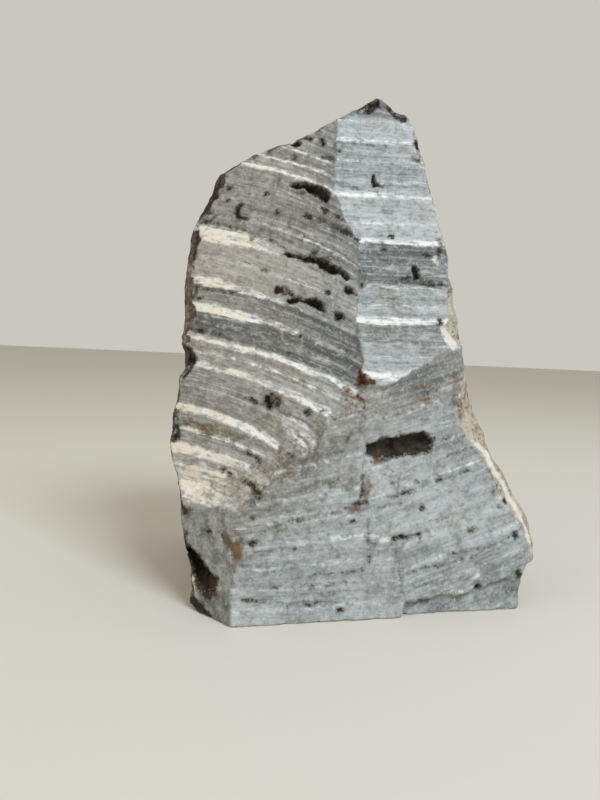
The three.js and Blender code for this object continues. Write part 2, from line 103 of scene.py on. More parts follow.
class Noise:
    """Smooth seeded noise from -1 to 1, blended between random values on a lattice."""

    SIZE = 32
    TABLE = np.arange(-400.0, 401.0)
    SHIFT = 17.3  # of each layer against the last, so that they don't line up

    def __init__(self, seed: int) -> None:
        """Draws the lattice values from a seed."""
        self.values = np.random.default_rng(seed).uniform(-1.0, 1.0, (self.SIZE,) * 3)

    def at(self, size: float, x: Array, y: Array, z: Array | float = 0.0) -> Array:
        """Blends the eight lattice values around each point.

        Args:
            size: Distance between lattice points.
            x: First coordinate of the points.
            y: Second coordinate.
            z: Third coordinate.

        Returns:
            Noise at each point.
        """
        cells, weights = [], []
        for place in np.broadcast_arrays(x, y, z):
            scaled = place / size
            cell = np.floor(scaled)
            cells.append(cell.astype(int))
            weights.append(rise(scaled - cell, 0.0, 1.0))
        total = np.zeros(cells[0].shape)
        for corner in np.ndindex(2, 2, 2):
            index = tuple((cell + step) % self.SIZE for cell, step in zip(cells, corner))
            shares = [w if step else 1.0 - w for w, step in zip(weights, corner)]
            total += shares[0] * shares[1] * shares[2] * self.values[index]
        return total

    def layered(
        self, size: float, layers: int, x: Array, y: Array, z: Array | float = 0.0
    ) -> Array:
        """Adds layers of noise, each half the size and half the height of the last.

        Args:
            size: Lattice distance of the first layer.
            layers: Number of layers.
            x: First coordinate of the points.
            y: Second coordinate.
            z: Third coordinate.

        Returns:
            Sum of the layers.
        """
        return sum(
            self.at(size / 2**n, x + self.SHIFT * n, y, z) / 2**n for n in range(layers)
        )

    def along(self, size: float, row: float, place: Array) -> Array:
        """Gives noise that changes along one direction only, a different one for each row."""
        return np.interp(place, self.TABLE, self.at(size, self.TABLE, size * row))


@dataclass(frozen=True)
class Relief:
    """A height map on a flat grid, read in straight proportion between its points."""

    corner: Point
    step: float
    heights: Array

    @classmethod
    def of(cls, face: "Face", low: Point, high: Point, step: float) -> "Relief":
        """Works out the height map of a face.

        Args:
            face: The face.
            low: Lowest corner of the grid.
            high: Highest corner of the grid.
            step: Distance between the grid's points.

        Returns:
            The height map.
        """
        us, vs = (np.arange(a, b + step, step) for a, b in zip(low, high))
        return cls(low, step, face.survey(*np.meshgrid(us, vs, indexing="ij")).height)

    def at(self, u: Array, v: Array) -> Array:
        """Reads the height at each point from the four grid points around it.

        Args:
            u: First coordinate of the points.
            v: Second coordinate.

        Returns:
            One height for each point.
        """
        past_last = 1.001  # steps, which keep a point at the far edge in the last cell
        across, up = (
            np.clip((value - low) / self.step, 0.0, count - past_last)
            for value, low, count in zip((u, v), self.corner, self.heights.shape)
        )
        i, j = across.astype(int), up.astype(int)
        s, t = across - i, up - j
        h = self.heights
        lower = h[i, j] * (1 - s) + h[i + 1, j] * s
        upper = h[i, j + 1] * (1 - s) + h[i + 1, j + 1] * s
        return lower * (1 - t) + upper * t


# ---- What a face of the block is like -----------------------------------------------------


class Mark(Enum):
    """What shows on the stone, each a point attribute from 0 to 1 that the finish reads."""

    SAWN = "sawn"  # saw streaks
    LEDGE = "ledge"  # pale dust on a ledge, and painted highlight on its upward face
    CREAM = "cream"  # warm cast of that dust, partly painted warm light
    WARM = "warm"  # warm grey instead of blue-grey
    SHADE = "shade"  # dark bands of the sawn stone, and painted shade on the corner cut and beside the fold
    SKIN = "skin"  # natural skin
    PALE = "pale"  # pale instead of brown skin
    PIT = "pit"  # dark hollows
    RUST = "rust"  # red-brown stains
    OCHRE = "ochre"  # tan stains
    CHALK = "chalk"  # bruised white edges


Marks = dict[Mark, Array]
GRAIN = "grain"  # point attribute with the place along and across the strokes
APART = 300.0  # from the grain of one set of strokes to the next, so that they differ

# Size and number of layers of the noises that the faces share.
WAVER = (30.0, 2)
SWELL = (14.0, 2)
ROUGH = (7.0, 3)
RAGGED = (5.0, 3)
CRUMB = (2.4, 2)


@dataclass
class Survey:
    """A face at many points: its height, its place along and across the strokes, its marks."""

    height: Array
    run: Array
    stroke: Array
    marks: Marks


def no_marks(x: Array) -> Marks:
    """Gives each mark as 0 at every point."""
    return {mark: np.zeros(x.shape) for mark in Mark}


@dataclass(frozen=True)
class Patch:
    """A stain or a hollow with a ragged oval outline on a face."""

    mark: Mark
    x: float
    z: float
    long: float  # half length
    high: float  # half height
    deep: float = 0.0
    strength: float = 1.0
    tilt: float = 0.0  # degrees, rising to the right

    def inside(self, x: Array, z: Array) -> Array:
        """Works out how far each point lies inside the outline.

        With f the distance from the middle in oval coordinates, it is 1 less f, divided by
        the slope of f.

        Args:
            x: Points across the face.
            z: Points up the face.

        Returns:
            Distances in millimetres, below 0 outside.
        """
        turn = math.radians(self.tilt)
        dx, dz = x - self.x, z - self.z
        u = (dx * math.cos(turn) + dz * math.sin(turn)) / self.long
        v = (dz * math.cos(turn) - dx * math.sin(turn)) / self.high
        f = np.hypot(u, v)
        slope = np.hypot(u / self.long, v / self.high) / np.maximum(f, 1e-6)
        return (1.0 - f) / np.maximum(slope, 1.0 / self.long)

    @property
    def half(self) -> float:
        """Gives half of its least width."""
        return min(self.long, self.high)


@dataclass(frozen=True)
class Trail:
    """A stain or a hollow along a line of points, each with half the width there."""

    mark: Mark
    points: tuple[Place, ...]
    deep: float = 0.0
    strength: float = 1.0

    def inside(self, x: Array, z: Array) -> Array:
        """Works out how far each point lies inside the trail.

        It is half the width at the nearest place of a stretch, less the distance to that
        place, and the stretch that gives the most counts.

        Args:
            x: Points across the face.
            z: Points up the face.

        Returns:
            Distances in millimetres, below 0 outside.
        """
        best = np.full(np.shape(x), -np.inf)
        for (x0, z0, w0), (x1, z1, w1) in zip(self.points, self.points[1:]):
            long = math.hypot(x1 - x0, z1 - z0)
            t = np.clip(((x - x0) * (x1 - x0) + (z - z0) * (z1 - z0)) / long**2, 0.0, 1.0)
            away = np.hypot(x - x0 - t * (x1 - x0), z - z0 - t * (z1 - z0))
            best = np.maximum(best, w0 + t * (w1 - w0) - away)
        return best

    @property
    def half(self) -> float:
        """Gives half of its greatest width."""
        return max(width for _, _, width in self.points)


Wear = tuple[Patch | Trail, ...]


def stains(mark: Mark, *rows: tuple[float, ...]) -> Wear:
    """Makes flat patches from rows of x, z, long, high, and a strength and tilt if not 1 and 0."""
    return tuple(Patch(mark, *row[:4], 0.0, *row[4:]) for row in rows)


def pits(*rows: tuple[float, ...]) -> Wear:
    """Makes dark patches from rows of x, z, long, high, deep, and a strength and tilt if given."""
    usual = (0.88,)
    return tuple(Patch(Mark.PIT, *row[:5], *(row[5:] or usual)) for row in rows)


def trails(mark: Mark, *rows: tuple[float | Place, ...]) -> Wear:
    """Makes trails from rows of strength, deep and points, each an x, a z and half the width."""
    return tuple(Trail(mark, tuple(line), deep, strength) for strength, deep, *line in rows)


def gouges(*rows: tuple[float | Place, ...]) -> Wear:
    """Makes dark trails from rows of deep and points."""
    strength = 0.94
    return trails(Mark.PIT, *((strength, *row) for row in rows))


def soft_lines(strength: float, *lines: tuple[Point, ...]) -> Wear:
    """Makes faint dark trails through points of x and z."""
    deep, half = 0.3, 1.0
    return trails(Mark.PIT, *((strength, deep, *((*p, half) for p in line)) for line in lines))


def add_wear(
    wear: Wear, x: Array, z: Array, shift: Callable[[float], Array], marks: Marks
) -> Array:
    """Adds stains and hollows to a face's marks and works out how deep they go.

    A mark is a half on the outline and grows evenly to 1 inside. A hollow is a bowl: with s
    the distance inside the outline over half the width, at most 1, it is as deep as the root
    of s times 2 less s.

    Args:
        wear: Stains and hollows.
        x: Points across the face.
        z: Points up the face.
        shift: How far the outline is moved at each point, from half the width.
        marks: The face's marks, which change.

    Returns:
        Depth at each point.
    """
    fade = 4.0  # width over which a mark grows
    depth = np.zeros(x.shape)
    for one in wear:
        inside = one.inside(x, z) + shift(one.half)
        if one.deep:
            s = np.clip(inside / one.half, 0.0, 1.0)
            depth += one.deep * np.sqrt(s * (2.0 - s))
        shown = one.strength * np.clip(0.5 + inside / fade, 0.0, 1.0)
        marks[one.mark] = np.maximum(marks[one.mark], shown)
    marks[Mark.LEDGE] = marks[Mark.LEDGE] * (1.0 - marks[Mark.PIT])
    return depth


@dataclass(frozen=True)
class Ledge:
    """A ledge that the saw left, with its sizes at the left and right end of the stroke."""

    at: float  # height of the stroke at its left end
    tall: Point
    deep: Point
    dust_and_highlight: Point  # coat of talc dust that it holds, with painted highlight


def ledges(*rows: tuple[float, ...]) -> tuple[Ledge, ...]:
    """Makes ledges from rows of at, and tall, deep and dust-and-highlight, each left and right."""
    return tuple(Ledge(row[0], row[1:3], row[3:5], row[5:7]) for row in rows)


@dataclass(frozen=True)
class Strokes:
    """A set of saw strokes, each moved down a little, which leaves a ledge behind."""

    ledges: tuple[Ledge, ...]
    left: float
    right: float
    seed: int
    wander: float = 0.7  # of a ledge from its straight line
    fine_wander: float = 0.45  # share of it that is added over short lengths
    vary: float = 0.25  # share by which the height and depth of a ledge vary
    vary_dust_and_highlight: float = 0.3
    dust_and_highlight_starts: Point = (-0.15, 0.25)  # shares of a ledge's height
    dust_and_highlight_ends: Point = (1.2, 0.55)
    ripple: float = 0.22  # height of the fine lines that the teeth leave
    ripples: tuple[Point, Point] = ((46.0, 1.5), (80.0, 3.1))  # their lengths and spacings
    ripple_share: float = 0.6  # of the coarser of the two

    def cut(self, x: Array, stroke: Array) -> tuple[Array, Array]:
        """Works out the ledges of the cut.

        Each ledge steps back over its height. Between ledges the saw came forward again by
        as much in all, so the offsets from the mean slope start and end at nothing. Fine
        ripples along the strokes are added.

        Args:
            x: Points along the strokes.
            stroke: Height of the stroke that passes each point, at its left end.

        Returns:
            How far back of the mean surface each point lies, and its coat of dust and painted
            highlight.
        """
        noise = Noise(self.seed)
        tall_over, deep_over, line_over, fine_over, dust_and_highlight_over = 19.0, 31.0, 26.0, 5.0, 44.0
        along = np.clip((x - self.left) / (self.right - self.left), 0.0, 1.0)
        back, total, dust_and_highlight = (np.zeros(x.shape) for _ in range(3))
        for row, ledge in enumerate(self.ledges):
            tall, deep, held = (
                a + (b - a) * along for a, b in (ledge.tall, ledge.deep, ledge.dust_and_highlight)
            )
            tall = tall * (1.0 + self.vary * noise.along(tall_over, row, x))
            deep = deep * (1.0 + self.vary * noise.along(deep_over, row + 0.5, x))
            held = held * (1.0 + self.vary_dust_and_highlight * noise.along(dust_and_highlight_over, row + 0.75, x))
            wave = noise.along(line_over, row + 0.25, x)
            wave = wave + self.fine_wander * noise.along(fine_over, row + 0.4, x)
            t = (stroke - ledge.at - self.wander * wave) / tall + 0.5
            back += deep * np.clip(t, 0.0, 1.0)
            total += deep
            # The coat lies on the upward face of each ledge: talc dust, and painted highlight
            # where that face catches the light.
            coat = rise(t, *self.dust_and_highlight_starts) * rise(t, *self.dust_and_highlight_ends)
            dust_and_highlight = np.maximum(dust_and_highlight, coat * np.clip(held, 0.0, 1.0))
        first, last = self.ledges[0].at, self.ledges[-1].at
        forward = np.clip((stroke - first) / (last - first), 0.0, 1.0)
        (long, apart), (longer, further) = self.ripples
        fine = noise.at(1.0, x / long, stroke / apart)
        coarse = noise.at(1.0, x / longer, stroke / further, 5.0)
        back = back - total * forward
        return back + self.ripple * (fine + self.ripple_share * coarse), dust_and_highlight


# ---- Hollows and stains of the front ------------------------------------------------------

PITS = pits(
    # Along the top of the upper left cut.
    (-47, 295.3, 4, 2.6, 4, 0.88, -8), (-28.7, 295, 2.2, 2.6, 3), (-32, 304, 2, 1, 0.8),
    (-48, 285, 3, 1.8, 0.8, 0.75), (-18, 289.5, 1.4, 1.2, 0.6),
    # Both sides of the peak.
    (-6, 320.5, 5, 2.2, 1.5, 0.6, 25),
    # The three long hollows beside the fold, and the torn lines between them.
    (-31.5, 221.3, 2, 1.6, 2), (-1.5, 210.6, 2.4, 1.6, 1), (-0.6, 203, 1.4, 1.8, 0.8),
    (-22.5, 196.6, 1.8, 1.4, 1),
    # The hooked notch, and flecks of the upper left cut.
    (-64.2, 260.9, 1.7, 1.9, 0.8), (-89.6, 265.3, 1.9, 1.5, 0.8), (-90, 257.2, 1.8, 0.9, 0.4, 0.7),
    (-98, 246.8, 1.9, 0.9, 0.6), (-72.8, 231.6, 1.8, 1.4, 0.8), (-56, 248, 1.8, 1.7, 0.6, 0.75),
    (-56.4, 269.7, 1.5, 1, 0.6), (-63, 210.2, 1.8, 1, 0.5, 0.7), (-49.5, 221.2, 1.8, 1, 0.8),
    (-36, 141.5, 1.7, 0.7, 0.5), (-44, 158.2, 1.9, 1, 0.7),
    # The pair of hollows low down, and flecks near them.
    (-31.8, 122.3, 2.9, 2.6, 2.5, 0.9), (-22.3, 123.5, 1.6, 0.8, 0.5, 0.8),
    (-40.5, 98.2, 1.9, 1.1, 0.9), (-32.4, 96.8, 1.8, 1, 0.8, 0.85), (-81.8, 84.8, 1.9, 1.5, 1),
    (-77.5, 82.2, 2.2, 1, 0.8, 0.85, -20),
    # The upper right cut.
    (43.3, 206.6, 1.4, 1.6, 1), (50.5, 205.8, 2, 1, 1), (33, 297, 1.9, 3.2, 3),
    (33.3, 286.3, 1.7, 1, 0.6), (48.6, 235, 1.2, 1.4, 0.6), (50.4, 232.2, 1.5, 1.2, 1),
    (48.6, 226.8, 1.4, 1.6, 0.8), (49.5, 181.2, 1.3, 1.6, 0.8), (11.8, 226.2, 3, 1, 0.6),
    (17.5, 235.7, 1.8, 1.2, 0.6),
    # The left corner cut, with its deep wedge.
    (-104, 44.2, 2.6, 2.2, 1.5), (-88.4, 50.3, 1.9, 1.1, 0.6),
    # The lower cut.
    (41.6, 48.8, 0.9, 1.6, 0.4), (81.4, 16.7, 2.2, 2, 3), (42, 67.6, 1.4, 1.5, 0.7),
    (46.5, 52, 1.3, 0.9, 0.5, 0.8), (64.5, 38.5, 2.2, 1.2, 0.9), (75, 52.2, 1.8, 0.9, 0.5),
    (-61, 62, 1.5, 1.6, 0.8), (-60.8, 47.2, 1.9, 1.6, 0.8), (-7, 6.8, 1.9, 1.6, 0.8),
    (30, 76, 1.9, 1, 0.5, 0.9), (65, 110.5, 1.6, 1.6, 0.8), (41, 137.2, 2.4, 1.6, 0.6, 0.8),
    (97.6, 69.5, 1.4, 1.7, 0.8, 0.9), (93.5, 66.2, 2.6, 1.2, 0.8, 0.85), (107.2, 62.5, 1, 1, 0.3),
    (105, 47.3, 1.6, 2.2, 0.6, 0.8), (96.7, 43.6, 1.7, 0.9, 0.5, 0.8),
    (109.3, 22.3, 1.9, 1.8, 0.8, 0.85),
    (-2, 59.7, 2, 1, 0.5, 0.8),
)
GOUGES = gouges(
    # Along the top of the upper left cut.
    (1.5, (-45, 299.5, 1.2), (-40, 299, 1.6), (-36, 297.5, 1)),
    (0.8, (-28.5, 285, 0.8), (-24.5, 284.5, 1.3), (-22, 283.5, 0.6)),
    (0.8, (-92, 281, 1.6), (-87, 283, 1.8), (-83.5, 284, 1.2)),
    (0.8, (-80, 286, 1), (-75.5, 287, 1.5), (-73, 286, 0.8)),
    (0.8, (-64, 291, 0.7), (-57, 293.5, 1.1), (-52, 295.5, 0.9)),
    # Both sides of the peak.
    (4, (0.5, 319, 2.5), (3, 322.5, 3.4), (6, 325, 2.6), (8, 321.5, 1.2)),
    (2, (12, 324, 1.6), (14.5, 321, 1.8), (18, 317, 1.8), (24, 315.5, 1.6)),
    # The three long hollows beside the fold, and the torn lines between them.
    (7, (-48.5, 265.6, 0.9), (-44, 265.6, 1.7), (-39, 265, 2), (-34, 263.4, 2.7),
     (-29.5, 261, 3.8), (-26.2, 258.2, 3)),
    (0.8, (-27.5, 249.5, 1), (-25, 248.5, 1.2)),
    (0.8, (-38.5, 246, 1.4), (-36, 245, 1.5), (-33, 243.2, 0.8), (-27, 242, 0.8),
     (-22, 239.5, 1.2), (-19, 237.8, 1)),
    (0.8, (-19, 246, 0.8), (-16, 245, 1.5), (-13.5, 242, 0.8)),
    (0.8, (-16, 236.5, 0.8), (-11.5, 235.2, 1.3), (-8, 233, 1.5), (-4.5, 231, 1)),
    (7, (-50, 221.5, 0.9), (-44.5, 219.5, 1.2), (-38, 218, 1.3), (-33, 217.6, 2.1),
     (-28.5, 216.2, 3.3), (-24, 214, 3.1), (-18.5, 211.6, 2.4), (-13.5, 209.2, 2.2),
     (-10.8, 206.3, 1.3)),
    (6.5, (-46, 191.2, 1), (-41, 191.3, 1.9), (-35, 191, 1.8), (-30, 190.4, 2.6),
     (-26.5, 188.2, 2.8), (-23.8, 185, 1.4)),
    (3, (-55, 197.6, 1.1), (-51, 197, 2), (-46.5, 195.4, 1.7), (-42, 193.8, 1.3), (-38, 193, 0.9)),
    (4, (-11.5, 198.5, 1.2), (-8, 197.3, 1.9), (-4.8, 195.6, 1.1)),
    (4.5, (-16.8, 183.6, 1.6), (-13, 182.6, 2.3), (-10, 179.8, 1.3)),
    # The hooked notch, and flecks of the upper left cut.
    (4, (-80.5, 253.4, 0.8), (-82.9, 251.8, 1), (-83.4, 248.6, 1.4), (-82.4, 246, 1.4),
     (-79, 244.9, 0.9), (-75.8, 244.3, 0.6)),
    (0.5, (-39, 169, 0.7), (-34.5, 167.8, 1)),
    # The pair of hollows low down, and flecks near them.
    (3.5, (-56.6, 130.2, 1.6), (-56.2, 125.8, 2.2)),
    (1, (-69, 80, 0.7), (-62.2, 79, 1.6), (-59, 76.6, 1.8), (-57.5, 73, 1)),
    # The upper right cut.
    (3.5, (4.6, 274.5, 0.9), (4.9, 271, 1.3), (5.6, 269, 1.4), (8.5, 268.6, 1.1),
     (11, 268.2, 0.7)),
    (5, (32.6, 216, 1), (33.4, 212.8, 2.3), (34.2, 210.4, 3.2)),
    (1, (25, 208.2, 0.8), (29.5, 208.7, 1.2), (34, 209, 1.2), (37, 208.9, 0.8)),
    # The left edge.
    (1, (-95, 278, 1.6), (-97, 270, 1.8), (-100.5, 262, 1.8), (-102.5, 255, 2.4),
     (-105, 250.5, 2.2)),
    (0.8, (-109, 249, 1.4), (-101, 248.9, 1.2)), (0.8, (-109, 243.6, 1), (-102, 243.4, 0.9)),
    (0.8, (-110.6, 240, 1), (-110.8, 235, 1.2), (-109.2, 230.5, 1.3), (-110.8, 224, 1),
     (-110.7, 219.5, 1.3), (-111.3, 212, 0.8)),
    (0.8, (-112, 203, 1.4), (-111.5, 200, 1.4)),
    (4.5, (-112.6, 160, 1), (-110.3, 157.5, 2.2), (-107.6, 151.5, 2.4), (-107.4, 146, 2.2),
     (-109.8, 141.5, 2.2), (-112.6, 138.6, 1.4)),
    (1.5, (-116, 112.5, 1.2), (-114.5, 108, 2), (-114, 103.5, 1.6), (-116.5, 99, 0.8)),
    (0.8, (-112.3, 70, 1), (-110.6, 65, 1.4), (-108, 61.5, 1.6), (-105, 57.5, 1.6)),
    # The left corner cut, with its deep wedge.
    (9, (-100, 34, 2), (-96, 29.5, 4.2), (-91.5, 23.6, 5.6), (-87, 19, 5.4)),
    (0, (-106, 39, 2), (-101.5, 36, 3), (-92, 28.8, 3.4), (-83.2, 22, 3)),
    (0, (-104, 34, 2.6), (-98, 27, 3.2), (-91, 18.6, 4), (-86.5, 14, 3.6)),
    (0, (-82.2, 21, 2.4), (-85.6, 14, 2.6)), (0.6, (-97.5, 17, 1.2), (-96.5, 11.5, 1)),
    # Painted shadow: a dark, shallow trail where the foot of the corner cut is undercut.
    (0.6, (-97.5, 5, 4.2), (-92, 1, 6), (-86, -2.5, 5.6)),
    # The lower cut.
    (7, (8, 102, 4.2), (15, 102.5, 6.8), (24, 104, 7), (33, 105.5, 7.4), (41, 107, 6.4),
     (45, 106.8, 3.2)),
    (3, (24, 47.6, 1), (28, 48.3, 1.4), (33, 48.4, 1.3), (37.8, 49.6, 0.8), (41, 50.2, 0.6)),
    (0.5, (-30, 10.4, 0.6), (-27.5, 10.6, 0.9), (-25, 10.5, 0.6)),
    (0.5, (50.5, 83.3, 0.9), (53.5, 83.6, 0.9)),
)
TORN_LINES = trails(
    Mark.PIT,
    (0.8, 2.5, (-50.4, 130, 1.6), (-50, 125.4, 1.9)),
    (0.75, 0.8, (-56, 134.5, 1.2), (-53.5, 132.5, 1.8)),
    (0.7, 0.5, (-71, 129, 0.8), (-65, 127, 1), (-60, 125, 0.7)),
    (0.65, 0.5, (-67, 95.5, 1.2), (-60, 92.3, 1.8)),
    (0.75, 0.6, (-65, 71.5, 1.2), (-61.5, 71.2, 1.4)),
    (0.8, 0.6, (-107, 169.7, 0.8), (-104, 169.5, 1.3), (-101, 169.2, 1)),
    (0.75, 0.6, (22, 205.6, 0.7), (34, 205.3, 1), (47, 205.2, 1.1), (54, 205.6, 1.2)),
    (0.7, 0.5, (37, 224.5, 1), (43, 223.6, 1.5)), (0.8, 0.5, (-110, 191.2, 0.8), (-104, 191, 0.8)),
    (0.95, 0.8, (-113, 155, 2.6), (-112.4, 150, 4), (-112.6, 144, 3)),
    (0.7, 0.4, (-17, 64.2, 0.7), (-13, 64.8, 0.9), (-9, 64.6, 0.7)),
    (0.75, 0.4, (9.5, 46.6, 0.8), (12.5, 45.8, 1)),
    (0.62, 0.4, (3.2, 87, 0.8), (3.6, 80, 1), (3.2, 71, 1)),
    (0.9, 0.4, (-1, 69.2, 0.9), (2, 70.4, 1.2), (6, 70.3, 0.9)),
    (0.62, 0.3, (-6.5, 67.3, 0.8), (-3, 67, 0.8)),
    (0.62, 0.4, (5, 66.5, 0.9), (13, 67, 0.9), (19, 68.6, 0.8), (28, 69.3, 0.8)),
    (0.6, 0.3, (8.4, 56, 0.8), (8.6, 47, 0.9)), (0.62, 0.3, (23, 82, 0.8), (26, 82, 0.9)),
    (0.62, 0.3, (37, 82.3, 0.8), (39.5, 82, 0.9)), (0.62, 0.4, (44, 82.3, 1), (47, 82.3, 0.8)),
    (0.62, 0.4, (56, 84.6, 0.8), (60, 85.4, 0.8), (66, 87.5, 0.8), (71, 90, 0.8)),
    (0.62, 0.4, (51.5, 108.6, 0.9), (58, 110, 0.9), (62, 110.2, 0.8)),
    (0.55, 0.3, (60, 38, 0.8), (76, 39.5, 0.9), (88, 41, 0.8)),
    (0.55, 0.3, (-24, 28.3, 0.8), (-10, 28.6, 0.9), (6, 30.2, 0.9)),
    (0.6, 0.3, (-14, 101, 0.8), (-3, 101.3, 0.8)),
    (0.5, 0.3, (-1.5, 119, 1), (-4, 114, 1.2), (-8, 108, 1.6)),
    (0.62, 0.3, (85.5, 89, 0.8), (88.2, 83, 1), (89, 74, 0.9)),
    (0.6, 0, (-108, 199, 1.3), (-107.5, 193, 1.2)),
)
# Soft dark lines along the strokes of the upper cuts, one of them painted shadow under a ledge,
# then cracks of the lower cut.
SOFT_LINES = soft_lines(
    0.62,
    ((-108, 243.6), (-103, 243.2), (-97, 241.3), (-88, 239.6), (-80, 237.4), (-70, 233.8),
     (-60, 230.6), (-52, 226.4), (-47, 221.5)),
    ((-20, 238.8), (-13, 236.6), (-8, 235), (-4, 231.5)),
    ((-110, 197.8), (-104, 197), (-92, 196.2), (-80, 194)), ((-110, 179.4), (-98, 179.6)),
    ((-109, 170.2), (-101, 169.2), (-91, 167.6), (-81, 164.6)),
) + soft_lines(
    0.5,
    ((-101, 247), (-88, 246.2), (-76, 241.5), (-64, 237.4), (-55, 233), (-46, 229.5)),
    ((-50, 241.4), (-44, 236.8), (-39, 232.4)), ((-72, 168.4), (-66, 167.2), (-58, 165.6)),
    ((-40, 168.6), (-34, 167.4), (-30, 166)), ((-18, 160), (-10, 157), (-3, 152.6), (-1, 148)),
    ((-14, 163), (-4, 158)), ((-96, 173.6), (-80, 172), (-64, 169.4), (-50, 165)),
    ((-110, 175), (-100, 175.4), (-92, 174)), ((-18, 295.2), (0, 295.4), (12, 295)),
    # The last line of this group is painted shadow just under a ledge of the upper right cut.
    ((-14, 265.6), (0, 265.2), (8, 265.4)), ((0, 229.4), (15, 229.2), (28, 229)),
) + soft_lines(
    0.52,
    ((-58, 53), (-48, 57.5), (-36, 60.5), (-22, 63.6), (-12, 65)),
    ((20, 73), (30, 75.5), (40, 81), (53, 83.5), (67, 88), (71, 89.5)),
    ((32, 27), (45, 29.5), (60, 31.5), (75, 35), (88, 41), (100, 47), (108, 52)),
    ((-64, 15), (-50, 13.5), (-38, 12), (-20, 11.5)), ((31, 15), (30, 24), (28, 33), (25.5, 42)),
    ((8, 60), (8.6, 47), (10, 34)),
) + soft_lines(
    0.42,
    ((-52, 67), (-40, 76), (-28, 80), (-12, 84)), ((-66, 22), (-40, 21.5), (-14, 22), (10, 23)),
    ((-18, 10.2), (-8, 10.8), (2, 10.6)), ((-64, 35), (-48, 34), (-36, 35.5)),
    ((-64, 43), (-40, 43.6), (-24, 45)), ((50, 95), (64, 101), (74, 104)),
    ((14, 120), (30, 126), (46, 129)), ((34, 18), (50, 19.5), (62, 22)),
)
